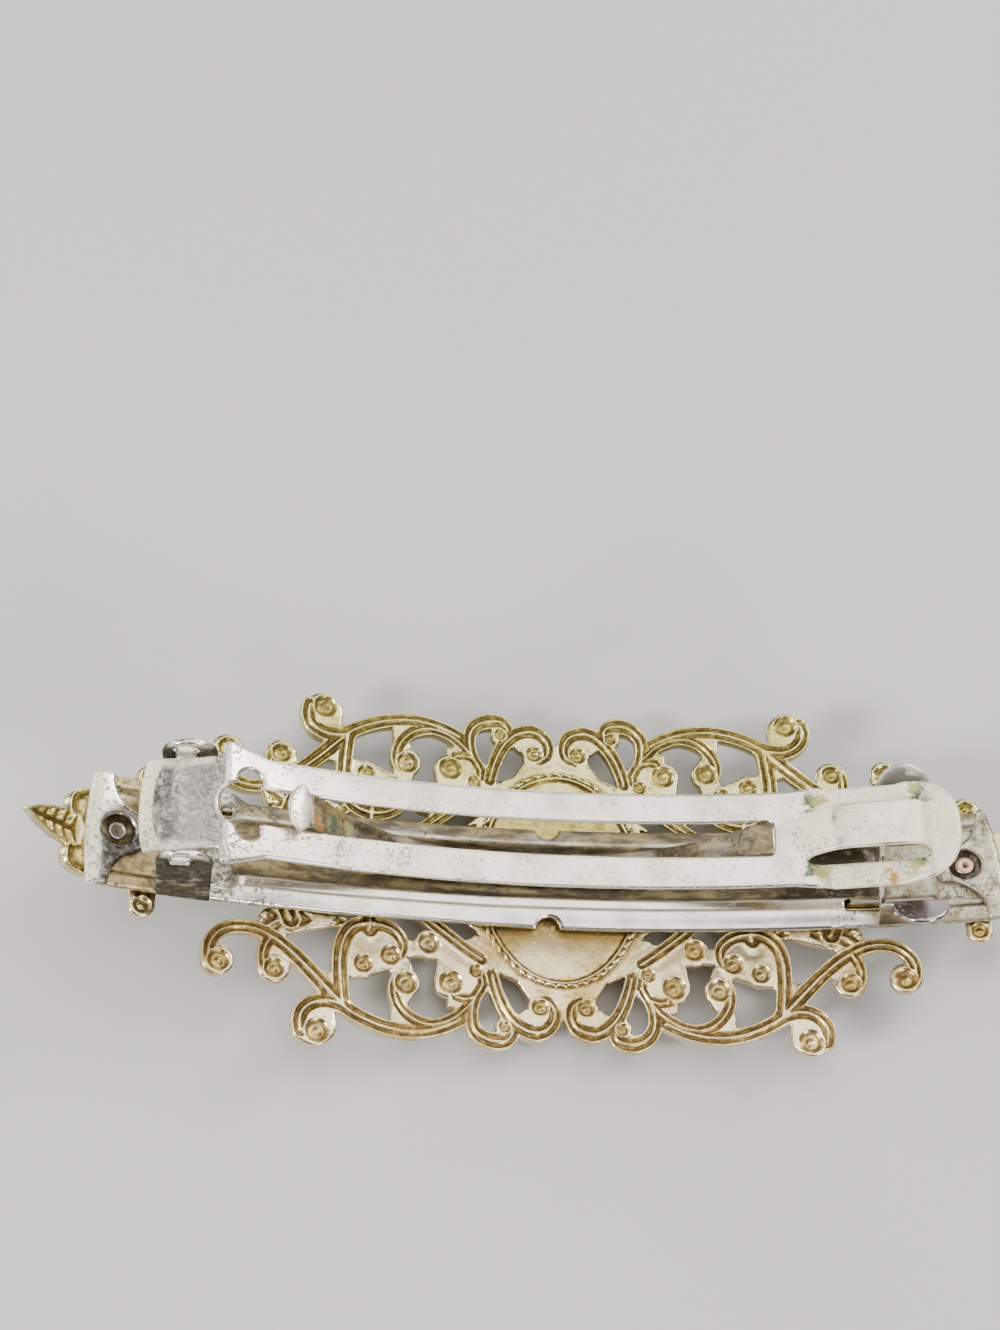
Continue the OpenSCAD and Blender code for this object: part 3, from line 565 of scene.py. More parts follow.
# Webs: each row is the hull of three discs (x, y, radius)
WEBS = [
    (1.21, 10.6, 0.48, 2.22, 10.48, 0.44, 2.19, 12.4, 1.02), (7.36, 8.64, 0.99, 9.53, 9.73, 1.24, 8.57, 7.84, 0.8),
    (8.6, 7.2, 0.5, 11.3, 6.6, 1.15, 8.6, 6.9, 0.5), (11.6, 6.7, 0.8, 13.5, 6.9, 0.5, 13.5, 7.15, 0.55),
    (13.22, 8.17, 0.36, 14.29, 7.98, 0.72, 13.41, 9.17, 0.89), (14.6, 7.5, 1.2, 17, 8.4, 1.2, 16.6, 6.2, 0.9),
    (17, 8.4, 1.2, 17.8, 7, 0.9, 18.1, 9.1, 0.7), (20.6, 13.9, 1.65, 20, 12.4, 0.8, 20.7, 12.4, 0.8),
    (18.6, 4.9, 0.35, 22.9, 5.3, 1.05, 24.6, 5.4, 1), (35, 5.5, 1, 34.8, 3, 0.9, 35.2, 3, 0.9),
    (9.6, 9.65, 1.3, 9.75, 8.2, 0.9, 9, 7.6, 0.8), (3, 12.2, 0.6, 3.9, 12.9, 0.5, 3.3, 12.6, 0.5),
    (0, 10.3, 0.6, 2.45, 9.95, 0.35, 1.2, 10.9, 0.6), (0, 12.2, 0.3, 0, 10.6, 0.5, 1, 11, 0.6),
    (2.3, 9.45, 0.45, 4.8, 8.4, 0.48, 5.6, 7.7, 0.5), (5.2, 7.8, 0.6, 6.4, 6.9, 0.6, 7.3, 5.9, 0.5),
    (6.35, 9.49, 0.5, 7.07, 9.62, 0.4, 6.66, 10.2, 0.27), (8.43, 11.2, 0.5, 9.41, 11.45, 0.39, 9.17, 10.37, 0.56),
    (13.08, 10.87, 0.5, 13.96, 11.05, 0.38, 13.68, 11.91, 0.41),
    (13.31, 13.07, 0.46, 14.08, 12.87, 0.5, 14.17, 12.22, 0.37),
    (23.2, 5.6, 0.9, 24.6, 6.2, 0.6, 23.6, 6.3, 0.5)]

# The web that is veined like a feather
FEATHER = WEBS[8]

# Round blobs at the curl ends and lobes: x, y, radius
BLOBS = [
    (1.95, 11.6, 1.05), (4.95, 13.2, 0.85), (7.4, 8.6, 0.95), (9.5, 9.65, 1.28), (11.4, 6.4, 1.2),
    (13.3, 9.9, 1.25), (14.5, 7.6, 1.15), (16.9, 8.5, 1.2), (20.75, 14, 1.68), (24.2, 9.35, 1.35),
    (28.75, 9.25, 1.3), (35, 5.5, 1.05), (39.8, 2.15, 1.5), (8, 10.2, 0.37), (24.35, 7.85, 0.5),
    (6.38, 8.23, 0.52), (19.8, 9.75, 0.42)]

# Balls, which are dimples on the back: x, y, radius
BALLS = [
    (1.95, 11.5, 0.7), (4.95, 13.25, 0.5), (7.35, 8.55, 0.55), (9.5, 9.65, 0.95), (11.4, 6.35, 0.85),
    (13.3, 9.9, 0.9), (14.6, 7.6, 0.8), (16.9, 8.5, 0.75), (20.6, 14.4, 0.95), (24.25, 9.5, 0.8),
    (28.75, 9.3, 0.85), (35, 5.5, 0.65)]

# Pointed spurs beside the ring, written as short stems
SPURS = [
    (6.2, 5.4, 6.9, 5.2, 7.4, 4.9, 7.8, 4.5, 0.9, 0.3), (5.6, 6.7, 6.6, 6.5, 7.5, 6.3, 8.1, 5.9, 0.9, 0.3),
    (3.3, 9.4, 3.1, 9.9, 2.9, 10.3, 2.6, 10.8, 0.8, 0.4)]

# Half outline of the spine under the clip: x, half width
SPINE = [(5, 2.2), (12, 1.7), (31, 1.7), (33.2, 3.0), (37.5, 3.2), (39.5, 2.0), (40.5, 1.4)]
LEAF = [(39.6, 1.2), (40.9, 1.4), (42.9, 1.25), (44.8, 0.65), (LEAF_X + LEAF_L, 0.0)]

RING_OUT = 1.5  # how far the ring reaches beyond the cameo at its sides
RING_Y = 0.77  # and the share of it that is left at the top and bottom
PLATE_STEP = 0.105  # grid of the plate
GROOVE_DEPTH = 0.24
BOWL_DEPTH = 0.34
BALL_BUMP = 0.24
LOBE = (39.7, 2.12, 1.5)  # a round lobe beside the root of each leaf
LOBE_STEPS = [0, 0.35, 0.60, 0.74, 0.88, 1.0]
LOBE_BACK = [0.2, 0.15, -0.02, -0.26, -0.10, 0.03]
LOBE_DIRT = [0.1, 0.2, 0.7, 1.0, 0.5, 0.0]
RIVET_HOLE = 0.55


def bezier(row, n=26):
    t = np.linspace(0, 1, n)[:, None]
    a, b, c, d = (np.array(row[k:k + 2]) for k in (0, 2, 4, 6))
    points = (1 - t) ** 3 * a + 3 * t * (1 - t) ** 2 * b + 3 * t * t * (1 - t) * c + t ** 3 * d
    return points, row[8] + (row[9] - row[8]) * t[:, 0]


def stem_field(x, y, row):
    """Signed distance to a stem, and how far off its middle a point is, as a share of its half width."""
    points, width = bezier(row)
    best = np.full(x.shape, 1e9)
    off = np.ones(x.shape)
    for i in range(len(points) - 1):
        dist, t = sd_segment(x, y, *points[i], *points[i + 1])
        half = (width[i] + (width[i + 1] - width[i]) * t) / 2
        d = dist - half
        nearer = d < best
        best = np.where(nearer, d, best)
        off = np.where(nearer, dist / half, off)
    return best, off


def both_sides(half):
    """A closed outline from the half on one side of the long middle line."""
    return [*half, *[(a, -b) for a, b in reversed(half)]]


def balls(x, y, back, front, cavity):
    """Dished balls with a small bump in the middle."""
    for bx, by, r in BALLS:
        rho = np.hypot(x - bx, y - by) / r
        bowl = -BOWL_DEPTH * dome(rho / 1.04)
        bump = BALL_BUMP * smooth(0.62, 0.1, np.hypot(x - bx + 0.08 * r, y - by - 0.12 * r) / r)
        lip = 0.04 * bell(rho, 1.12, 0.1)
        back = mix(back, 0.0, smooth(1.3, 1.1, rho)) + lip
        back = np.where(rho < 1.04, bowl + bump * (rho < 1), back)
        dirt = np.maximum(0.95 * bell(rho, 0.74, 0.2), 0.55) * smooth(1.04, 0.95, rho)
        cavity = np.where(rho < 1.04, dirt, mix(cavity, 0.0, smooth(1.3, 1.12, rho)))
        swell = -WEB_T - (STEM_RISE + BALL_RISE) * dome(rho)
        front = np.where(rho < 1, np.minimum(front, swell), front)
    return back, front, cavity


def end_leaf(x, y, leaf, back, front, cavity):
    """The end lobes, each a dome in a ring groove, and the pointed leaf with two rows of knobs."""
    lobe = np.hypot(x - LOBE[0], y - LOBE[1]) / LOBE[2]
    on_lobe = smooth(38.5, 39.1, x) * (lobe < 1.0) * (leaf > 0.0)
    back = mix(back, np.interp(lobe, LOBE_STEPS, LOBE_BACK), on_lobe)
    cavity = mix(cavity, np.interp(lobe, LOBE_STEPS, LOBE_DIRT), on_lobe)
    tip = (x > LEAF_X) & (leaf < 0.03)
    vein = np.minimum(np.abs(y) / 0.16, 1) * (0.6 + 0.4 * np.cos(2 * math.pi * (x * 1.15 + np.abs(y) * 1.5)))
    rise = 0.2 * np.sqrt(np.clip(-leaf / 1.2, 0, 1))
    within = smooth(0.08, 0.30, -leaf)
    seam = smooth(0.32, 0.12, np.abs(y))
    knob = 0.5 + 0.5 * np.cos(2 * math.pi * (x * 0.9 + np.abs(y) * 0.4))
    back = np.where(tip, -0.02 - within * (0.30 - 0.30 * knob * (1 - seam)), back)
    cavity = np.where(tip, within * np.clip(0.30 + 0.7 * seam + 0.45 * (1 - knob), 0, 1), cavity)
    return back, np.where(tip, -WEB_T + 0.1 - rise * vein, front), cavity


def quarter_field(x, y):
    """The plate in one quarter: signed distance, the height of its back and front, and its grooves."""
    leaf = sd_polygon(x, y, both_sides(LEAF))
    flat = np.minimum(sd_polygon(x, y, both_sides(SPINE)), leaf)
    for row in WEBS:
        flat = np.minimum(flat, sd_hull(x, y, row))
    for row in BLOBS:
        flat = np.minimum(flat, sd_disc(x, y, *row))
    ring = sd_oval(x, y, CAMEO_A + RING_OUT, CAMEO_B + RING_OUT * RING_Y)
    stem_d = np.full(x.shape, 1e9)
    deepest = np.full(x.shape, -1.0)
    off = np.ones(x.shape)
    for row in STEMS:
        d, s = stem_field(x, y, row)
        stem_d = smooth_min(stem_d, d, 0.18)
        better = 1.0 - s > deepest
        deepest = np.where(better, 1.0 - s, deepest)
        off = np.where(better, s, off)
    for a in SPURS:
        stem_d = smooth_min(stem_d, sd_cone(x, y, a[0], a[1], a[8] / 2, a[6], a[7], a[9] / 2), 0.12)
    d = smooth_min(smooth_min(stem_d, flat, 0.3), ring, 0.25)
    # back: webs a little sunk, stems with two grooves between three ridges
    web_back = -0.02 + 0.025 * wobble(x, y, 1.3, 4.0) + 0.02 * wobble(x, y, 3.1, 7.0)
    s = np.clip(off, 0, 1.15)
    groove = between(s, 0.10, 0.30, 0.60, 0.86)
    on_stem = smooth(1.06, 0.96, off) * (ring > -0.2)
    back = mix(web_back, 0.02 - 0.05 * smooth(0.15, 0.0, s) - GROOVE_DEPTH * groove, on_stem)
    cavity = np.sqrt(groove) * on_stem
    cavity = np.maximum(cavity, 0.42 * smooth(0.75, 0.2, ring) * (1 - on_stem))
    ridge = STEM_RISE * dome(s / 1.02) - 0.05 * smooth(0.16, 0.0, s)
    front = -WEB_T - ridge * (off < 1.02)
    # veined leaf beside the spine
    rib = np.sin(2 * math.pi * ((x - 19) * 0.72 - np.abs(y - 5.0) * 0.9))
    rib = np.minimum(rib, np.abs(y - 5.0 - 0.03 * (x - 19)) / 0.15 - 1)
    veined = (sd_hull(x, y, FEATHER) < -0.05) & (off > 1)
    back = np.where(veined, -0.06 + 0.10 * rib, back)
    cavity = np.where(veined, 0.9 * smooth(0.3, -0.9, rib), cavity)
    front = np.where(veined, front - 0.1 - 0.08 * rib, front)
    back, front, cavity = balls(x, y, back, front, cavity)
    back, front, cavity = end_leaf(x, y, leaf, back, front, cavity)
    # the ring and cup are a body of their own: the plate stops inside it
    hole = -sd_oval(x, y, CAMEO_A + 0.9, CAMEO_B + 0.7)
    return {"d": np.maximum(d, hole), "top": back, "bottom": front, "cavity": np.clip(cavity, 0, 1)}


def plate_field(x, y):
    """All four quarters from one."""
    ax, ay = np.abs(x[:, 0]), np.abs(y[0])
    ux, ix = np.unique(np.round(ax, 6), return_inverse=True)
    uy, iy = np.unique(np.round(ay, 6), return_inverse=True)
    quarter = quarter_field(*np.meshgrid(ux, uy, indexing="ij"))
    out = {k: v[np.ix_(ix, iy)].copy() for k, v in quarter.items()}
    for rx in RIVET_X:
        r = np.hypot(x - rx, y)
        out["d"] = np.maximum(out["d"], RIVET_HOLE - r)
        out["top"] = mix(out["top"], SEAT_GAP - 0.05, smooth(2.1, 1.8, r))
        out["bottom"] = np.where(r < 1.05, -0.49, out["bottom"])
    return out


def plate_path():
    """The bow of the plate, with each end leaf bent up from it."""
    x = np.linspace(-LEAF_X, LEAF_X, 202)
    q = bow_xz(x, 0.0)
    u = np.linspace(0, LEAF_L + 0.6, 40)[1:]
    start = math.asin(LEAF_X / BOW_R)
    angle = start + LEAF_TILT * smooth(-0.2, 1.0, u)
    step = np.diff(np.concatenate([[0], u]))
    end = q[-1] + np.stack([np.cumsum(np.cos(angle) * step), np.cumsum(np.sin(angle) * step)], -1)
    right = np.concatenate([q, end])
    left = end[::-1] * [-1, 1]
    p = np.concatenate([-(LEAF_X + u[::-1]), x, LEAF_X + u])
    return Path(p, np.concatenate([left, right]))


def filigree():
    path = plate_path()
    half_x, half_y = LEAF_X + LEAF_L + 0.3, 15.9
    xs, ys = grid(-half_x, half_x, PLATE_STEP), grid(-half_y, half_y, PLATE_STEP)
    return sheet_part(xs, ys, plate_field, path.place, 0.14, 0.16)


# Turned and swept bodies
def swept(rings, dirt):
    """A closed body from rings of n points each. Its first and last ring become its ends."""
    m, n = len(rings), len(rings[0])
    i, j = np.meshgrid(np.arange(m - 1), np.arange(n), indexing="ij")
    k = (j + 1) % n
    quads = np.stack([i * n + j, (i + 1) * n + j, (i + 1) * n + k, i * n + k], -1).reshape(-1, 4)
    ends = np.concatenate([np.arange(n)[None, :], ((m - 1) * n + np.arange(n))[None, ::-1]])
    return np.concatenate(rings), {4: quads, n: ends}, {"cavity": np.concatenate(dirt)}


def oval_sweep(rows, place, n, change=None):
    """Rows of scale, offset, height and darkening, swept round the oval of the cameo."""
    a = np.linspace(0, 2 * math.pi, n, endpoint=False)
    rings, cavity = [], []
    for i, (k, o, h, c) in enumerate(rows):
        x, y = (k * CAMEO_A + o) * np.cos(a), (k * CAMEO_B + o * mix(1, RING_Y, o > 0.5)) * np.sin(a)
        height, dirt = np.full(n, float(h)), np.full(n, float(c))
        if change:
            height, dirt = change(i, a, height, dirt)
        rings.append(place(x, y, height))
        cavity.append(dirt)
    return swept(rings, cavity)


BEADS = 58
BEAD_ROWS = 7
BEAD_POINTS = 8  # points along each bead


def ring_and_cup():
    """The rope of beads round the cup, whose floor shows at the back and whose rim holds the cameo in front."""
    back = [(0.02, 0, -0.25, 0), (0.3, 0, -0.25, 0), (0.6, 0, -0.26, 0), (0.8, 0, -0.28, 0.05), (0.93, 0, -0.30, 0.1),
            (1, -0.1, -0.31, 0.25), (1, 0.03, -0.33, 0.9), (1, 0.1, -0.34, 1.0), (1, 0.16, -0.2, 0.8),
            (1, 0.22, -0.02, 0.2), (1, 0.32, 0.03, 0), (1, 0.42, -0.02, 0.3), (1, 0.48, -0.08, 0.8)]
    beads = [(1, 0.52 + 0.09 * i, 0.0, 0.0) for i in range(BEAD_ROWS)]
    outer = [(1, 1.12, -0.16, 0.95), (1, 1.2, -0.06, 0.62), (1, 1.36, -0.05, 0.55), (1, 1.46, -0.12, 0.5),
             (1, 1.5, -0.3, 0.2), (1, 1.5, -0.7, 0.3), (1, 1.42, -0.9, 0.2), (1, 1.2, -1.0, 0.1),
             (1, 0.9, -0.95, 0.5), (1, 0.62, -1.0, 0.9), (1, 0.57, -1.2, 0.4), (1, 0.56, -2.2, 0.1),
             (1, 0.52, -2.36, 0), (1, 0.4, -2.45, 0), (1, 0.1, -2.47, 0), (1, -0.15, -2.45, 0),
             (1, -0.28, -2.36, 0.2), (1, -0.29, -2.16, 0.8), (1, 0.06, -2.12, 1), (1, 0.06, -0.72, 1),
             (0.5, 0, -0.70, 1), (0.02, 0, -0.70, 1)]
    rows = back + beads + outer
    first, last = len(back), len(back) + len(beads)
    a = np.linspace(0, 2 * math.pi, 721)
    run = arc_lengths(np.stack([(CAMEO_A + 0.8) * np.cos(a), (CAMEO_B + 0.8) * np.sin(a)], -1))

    def change(i, angle, height, dirt):
        place = np.interp(angle, a, run) / run[-1] * BEADS
        if first <= i < last:
            across = (i - first - BEAD_ROWS // 2) / (BEAD_ROWS / 2)
            cell = (place - 0.35 * across) % 1.0 * 2 - 1
            round_bead = np.sqrt(np.clip(1 - 0.88 * cell ** 2 - 0.78 * across ** 2, 0, 1))
            height = -0.2 + 0.40 * round_bead
            dirt = smooth(0.85, 0.35, round_bead)
        elif i <= 5:
            height = height + (i > 1) * (0.015 * np.sin(3 * angle + i) + 0.012 * np.sin(7 * angle))
            # painted shade: the cup's back is darkened in a band along the clip
            dirt = np.maximum(dirt, 0.5 * smooth(7.2, 5.0, np.abs(rows[i][0] * CAMEO_B * np.sin(angle))))
        return height, dirt

    def place(x, y, h):
        q = bow_xz(x, np.minimum(h, 0.2))
        level = BACK_Z + h
        bowed = smooth(0.9, 1.25, np.hypot(x / CAMEO_A, y / CAMEO_B)) * (h > -1.05)
        return np.stack([x, y, mix(level, q[:, 1], bowed)], -1)

    return oval_sweep(rows, place, BEADS * BEAD_POINTS, change)


# The clip base: one sheet along the bow, folded over at both ends
FOLD_R = 0.5  # outside radius of the folds
FOLD_X = CLIP_L / 2 - FOLD_R
BASE_X = (CLIP_X - FOLD_X, CLIP_X + FOLD_X)  # where the folds start
MID_H = SEAT_GAP + SHEET_T / 2
FLAP_L = (3.6, 4.4)
FLAP_Y = EDGE_Y + 0.1
FLAP_MID = SEAT_GAP + 2 * FOLD_R + 0.05 - SHEET_T / 2
FOLD_RUN = math.pi * (FOLD_R - SHEET_T / 2)  # length of the sheet in a fold
FLAP_HOLE = 1.3
CORNER_AT, CORNER_R = 4.25, 3.2  # the scoop out of each flap's corners
FAR_LIP_CUT = 0.85  # how much narrower the far lip is
NOTCH_R = 1.0
SMALL_HOLE = (-28.8, 3.1, 0.45)
CATCH_SLOT = (24.2, 31.8, 2.45, 3.5)
CHANNEL_H = 0.6  # how far both lips of the channel stand above its floor
END_H = 0.3  # and the edges of the flat ends


def base_path():
    """Flap, fold, base, fold, flap. p is x along the base, and runs on round each fold."""
    x0, x1 = BASE_X
    x = np.linspace(x0, x1, 260)
    base = bow_xz(x, MID_H)
    turn = np.linspace(0, math.pi, 14)[1:]
    r = (FLAP_MID - MID_H) / 2

    def end(xe, out, length):
        flap = np.linspace(0, length, 16)[1:]
        bend = stand(xe, out * r * np.sin(turn), 0, MID_H + r - r * np.cos(turn))[:, ::2]
        back = bow_xz(xe - out * flap, FLAP_MID)
        return np.concatenate([turn / math.pi * FOLD_RUN, FOLD_RUN + flap]), np.concatenate([bend, back])

    run0, q0 = end(x0, -1, FLAP_L[0])
    run1, q1 = end(x1, 1, FLAP_L[1])
    return Path(np.concatenate([x0 - run0[::-1], x, x1 + run1]), np.concatenate([q0[::-1], base, q1]))


def base_outline(p, y, edge):
    ay = np.abs(y)
    x0, x1 = BASE_X
    d = np.maximum(ay - edge, np.maximum(x0 - FOLD_RUN - FLAP_L[0] - p, p - x1 - FOLD_RUN - FLAP_L[1]))
    for side, xe, rivet in ((-1, x0, RIVET_X[0]), (1, x1, RIVET_X[1])):
        beyond = side * (p - xe)
        d = np.where(beyond > 0, np.maximum(d, ay - FLAP_Y), d)
        corner = np.hypot(beyond - FOLD_RUN - CORNER_AT, ay - EDGE_Y + 0.2)
        d = np.where(beyond > FOLD_RUN, np.maximum(d, CORNER_R - corner), d)
        d = np.where(beyond < 0, np.maximum(d, RIVET_HOLE - np.hypot(p - rivet, y)), d)
        in_flap = np.hypot(beyond - FOLD_RUN - abs(xe - rivet), y)
        d = np.where(beyond > FOLD_RUN, np.maximum(d, FLAP_HOLE - in_flap), d)
    d = np.maximum(d, NOTCH_R - np.hypot(p - CLIP_X, ay - edge - 0.05))
    d = np.maximum(d, -sd_box(p, ay, *CATCH_SLOT, 0.3))
    return np.maximum(d, -sd_disc(p, y, *SMALL_HOLE))


def base_field(p, y):
    """The base's sheet: its outline, how it is pressed, and where it is worn, gilt, dark or pitted, and where shade, a
    highlight or a dark reflection is painted on it.
    """
    x0, x1 = BASE_X
    ay = np.abs(y)
    waist = FAR_LIP_CUT * between(p, -28.4, -27.0, 23.6, 25.6)
    d = base_outline(p, y, EDGE_Y + np.where(y < 0, mix(-0.12, 0.12, smooth(-16, 6, p)), -waist))
    channel = CHANNEL_H * smooth(1.9, 2.4, ay) * (1 - smooth(3.0, 5.3, ay))
    flat_end = END_H * smooth(3.3, 3.75, ay) * (1 - smooth(3.9, 5.2, ay))
    in_channel = between(p, -29.0, -27.2, 24.6, 27.4)
    on_base = between(p, x0 - 0.1, x0 + 0.9, x1 - 0.9, x1 + 0.1)
    lift = mix(flat_end, channel, in_channel) * on_base + 0.02 * wobble(p, y, 9.0, 2.0)
    # regions: floor and lips of the channel, both flat ends, both flaps
    sunk = smooth(2.7, 2.0, ay)
    seam = bell(ay, 2.2, 0.22)
    lip = smooth(2.3, 2.9, ay) * in_channel
    far_lip = smooth(0, 1, y) * lip
    left, right = ((1 - in_channel) * on_base * side for side in (p < 0, p > 0))
    flap_l, flap_r = (p < x0 - 0.4) * 1.0, (p > x1 + 0.4) * 1.0
    by_ear = between(p, -30.6, -29.9, -27.6, -26.6) * left
    near_ends = bell(p, -26.0, 2.2) + bell(p, 24.2, 1.8)
    tarnish = in_channel * (0.95 * sunk + 0.5 * seam) + 0.30 * lip * bell(ay, 3.9, 0.25)
    tarnish = tarnish + 0.28 * left + 0.30 * right + 0.55 * far_lip - 0.3 * lip * (y < 0)
    tarnish = tarnish + 0.20 * flap_r + 0.12 * flap_l * smooth(1.0, -2.0, y)
    gilt = 0.95 * left * (1 - by_ear) + 0.85 * right + 0.75 * flap_r
    # a dark collar round each rivet, and the shade under the tongue's window
    by_rivet = np.minimum(np.hypot(p - RIVET_X[0], y), np.hypot(p - RIVET_X[1], y))
    collar = smooth(2.0, 1.4, by_rivet) * on_base
    shade = between(p, 18.2, 19.4, 27.4, 28.6) * smooth(2.8, 2.0, ay)
    # painted shade on the channel's floor and seam under the tongue; the far lip is made darker as well
    dark = (0.4 * sunk * smooth(1.0, 2.0, ay) + 0.35 * seam) * in_channel
    dark = dark + 0.3 * far_lip + 0.95 * collar + 0.9 * shade
    # the hinge end's flap: a painted highlight on the fold, and a painted dark reflection over one half, with a small
    # spot left out
    flap_x = x0 - FOLD_RUN
    fold_l = between(p, flap_x - 0.35, flap_x - 0.1, x0 - 0.1, x0 + 0.15)
    frost = flap_l * smooth(0.75, 0.1, y + 0.25 * np.sin(2.2 * p)) * smooth(flap_x - 0.15, flap_x - 0.6, p)
    frost = frost * smooth(0.7, 1.0, np.hypot((p - flap_x + 1.15) / 0.42, (y + 0.95) / 0.24))
    pits = lip * near_ends + 0.5 * left * smooth(2.2, 3.4, ay) + 0.35 * right + 0.55 * flap_r
    pits = pits - 0.7 * lip * (1 - near_ends) * (y < 0) + 0.25 * sunk * in_channel + by_ear
    pits = pits + 0.6 * flap_l * smooth(0.6, -1.8, y - 0.5 * (p - x0 + 3.5))
    return sheet(d, lift, SHEET_T, tarnish=np.clip(tarnish, -0.3, 1), pits=np.clip(pits, -0.7, 1),
                 gilt=np.clip(gilt, 0, 1), frost=frost, cream=0.9 * fold_l, dark=np.clip(dark, 0, 1))


EAR = [(-34, 4), (-29.75, 3), (-29.5, 13.5), (-33.85, 13.5)]
EAR_TOP = (-31.7, 13.5, 2.15)
EAR_HOLE_R = 1.1
EAR_BEND = 0.7  # radius at the foot


def ear():
    """A hinge ear that bends up from the base's edge."""
    def field(x, z):
        d = smooth_min(sd_polygon(x, z, EAR), sd_disc(x, z, *EAR_TOP), 0.25)
        d = np.maximum(d, bow_rise(x) + SEAT_GAP - z)
        d = np.maximum(d, EAR_HOLE_R - np.hypot(x - PIVOT_X, z - PIVOT_H))
        # painted shade: tarnish and near-black over the ear below its top
        inside = 1 - smooth(14.3, 15.4, z)
        return sheet(d, 0.015 * wobble(x, z, 5.0, 6.0), SHEET_T, tarnish=0.5 * inside, dark=0.97 * inside, pits=0.3)

    def place(x, z, n):
        up = np.clip(z - bow_rise(x) - SEAT_GAP, 0, EAR_BEND)
        bend = EAR_BEND - np.sqrt(np.maximum(EAR_BEND ** 2 - (EAR_BEND - up) ** 2, 0))
        return upright(x, -(4.6 - 0.6 * bend) - n, z)

    return sheet_part(grid(-34.3, -29.0, 0.08), grid(3.2, 15.9, 0.08), field, place, 0.15, 0.15)


CLASP_X = 29.8
WALL_X0, WALL_X1 = -2.95, 1.5  # from CLASP_X
WALL_Y = EDGE_Y - SHEET_T / 2
WALL_FOOT = SEAT_GAP + 0.1
WALL_L = 5.15
PADDLE_X, PADDLE_R = 0.25, 2.3
PADDLE_TILT = math.radians(48)
CATCH = [(4.6, 0.9), (3.6, 0.9), (1.35, 9.0), (1.35, 11.0), (1.9, 11.2), (2.05, 10.4), (1.95, 9.9), (2.0, 9.0),
         (4.6, 4.3)]


def clasp_side():
    """Wall and paddle on the near side: v runs up the wall and then along the paddle."""
    v = np.linspace(0, 12, 121)
    angle = PADDLE_TILT * smooth(WALL_L - 0.5, WALL_L + 0.5, v)
    out, up = (np.concatenate([[0], np.cumsum(turn(angle[:-1]) * v[1])]) for turn in (np.sin, np.cos))
    out, up = WALL_Y + out, WALL_FOOT + up

    def field(x, v_):
        wall = sd_box(x, v_, WALL_X0, WALL_X1, -1, WALL_L - 0.1, 0.2)
        root = sd_box(x, v_, PADDLE_X - 1.6, PADDLE_X + 1.6, WALL_L - 0.8, WALL_L + 0.6, 0.1)
        paddle = smooth_min(root, sd_disc(x, v_, PADDLE_X, WALL_L + 1.0, PADDLE_R), 0.25)
        d = np.maximum(smooth_min(wall, paddle, 0.3), -v_)
        # painted shade on the wall below the paddle (tarnish and dark), and a painted mauve reflection on the paddle
        upper = smooth(WALL_L - 0.5, WALL_L + 0.1, v_)
        face = sheet(d, 0.0, SHEET_T, tarnish=0.75 * (1 - upper), dark=0.45 * (1 - upper), mauve=upper,
                     pits=0.25 * (1 - upper))
        face["top"] = face["top"] + 0.10 * upper * smooth(2.4, 0.6, np.hypot(x - PADDLE_X, v_ - WALL_L - 1))
        return face

    def place(x, v_, n):
        y, h, a = (np.interp(v_, v, q) for q in (out, up, angle))
        return stand(CLASP_X, x, -(y - n * np.cos(a)), h + n * np.sin(a))

    return sheet_part(grid(-3.2, 2.7, 0.09), grid(-0.2, 9.2, 0.09), field, place, 0.15, 0.15)


def catch():
    """Upright blade with a barb, on the near side."""
    return sheet_part(grid(1.1, 4.8, 0.07), grid(0.7, 11.4, 0.07),
                      lambda y, h: sheet(sd_polygon(y, h, CATCH), 0.0, SHEET_T, tarnish=0.15, pits=0.2),
                      lambda y, h, n: stand(CLASP_X, n + WALL_X0 + SHEET_T / 2, -y, h), 0.1, 0.1)


def clip_base():
    path = base_path()

    def place(p, y, n):
        # the cut ends are not straight: the hinge end bulges, the clasp end runs off at the far side
        q = path.place(p, y, n)
        u = y / EDGE_Y
        q[:, 0] -= smooth(-38.3, -39.4, q[:, 0]) * 0.42 * (1 - u * u)
        q[:, 0] -= smooth(35.3, 36.9, q[:, 0]) * (0.6 * u * u + 0.38 * u)
        return q

    strip = sheet_part(grid(path.p[0] - 0.1, path.p[-1] + 0.1, 0.19), grid(-EDGE_Y - 0.3, EDGE_Y + 0.3, 0.14),
                       base_field, place, 0.16, 0.16)
    # the far paddle is bent a little more, with painted shade inside its unshaded rim and no painted reflection
    near = clasp_side()
    points, faces, marks = mirrored(near)
    upper = marks["mauve"]
    points[:, 0] -= 0.35 * upper
    points[:, 2] -= 0.20 * upper
    inside = upper * (1 - marks["edge"]) ** 0.5
    marks = {**marks, "dark": np.clip(marks["dark"] + 0.9 * inside, 0, 1), "mauve": 0 * upper}
    parts = [strip, near, (points, faces, marks)]
    for part in (ear(), catch()):
        parts += [part, mirrored(part)]
    return joined(parts)


# The tongue: heel, two arms and tip in one sheet, with its strap and bow spring
TIP_X, TIP_R = 30.5, 4.35
HEEL_X = -28.6  # where the heel meets the arms
SHOULDERS = [(-36.2, 3.9), (-29.2, 3.9), (-29, 5.05), (-28.3, 5.1), (-25.4, 4.15), (17.5, 4.15), (19.2, TIP_R),
             (TIP_X - TIP_R, TIP_R)]
HEEL = [(-35.3, 12.4), (-34.95, 13.05), (-34.3, 13.42), (-32.9, 13.62), (-31.2, 13.9)]


def tongue_at(x):
    return TONGUE_H + TONGUE_R - np.sqrt(TONGUE_R ** 2 - np.asarray(x, float) ** 2)


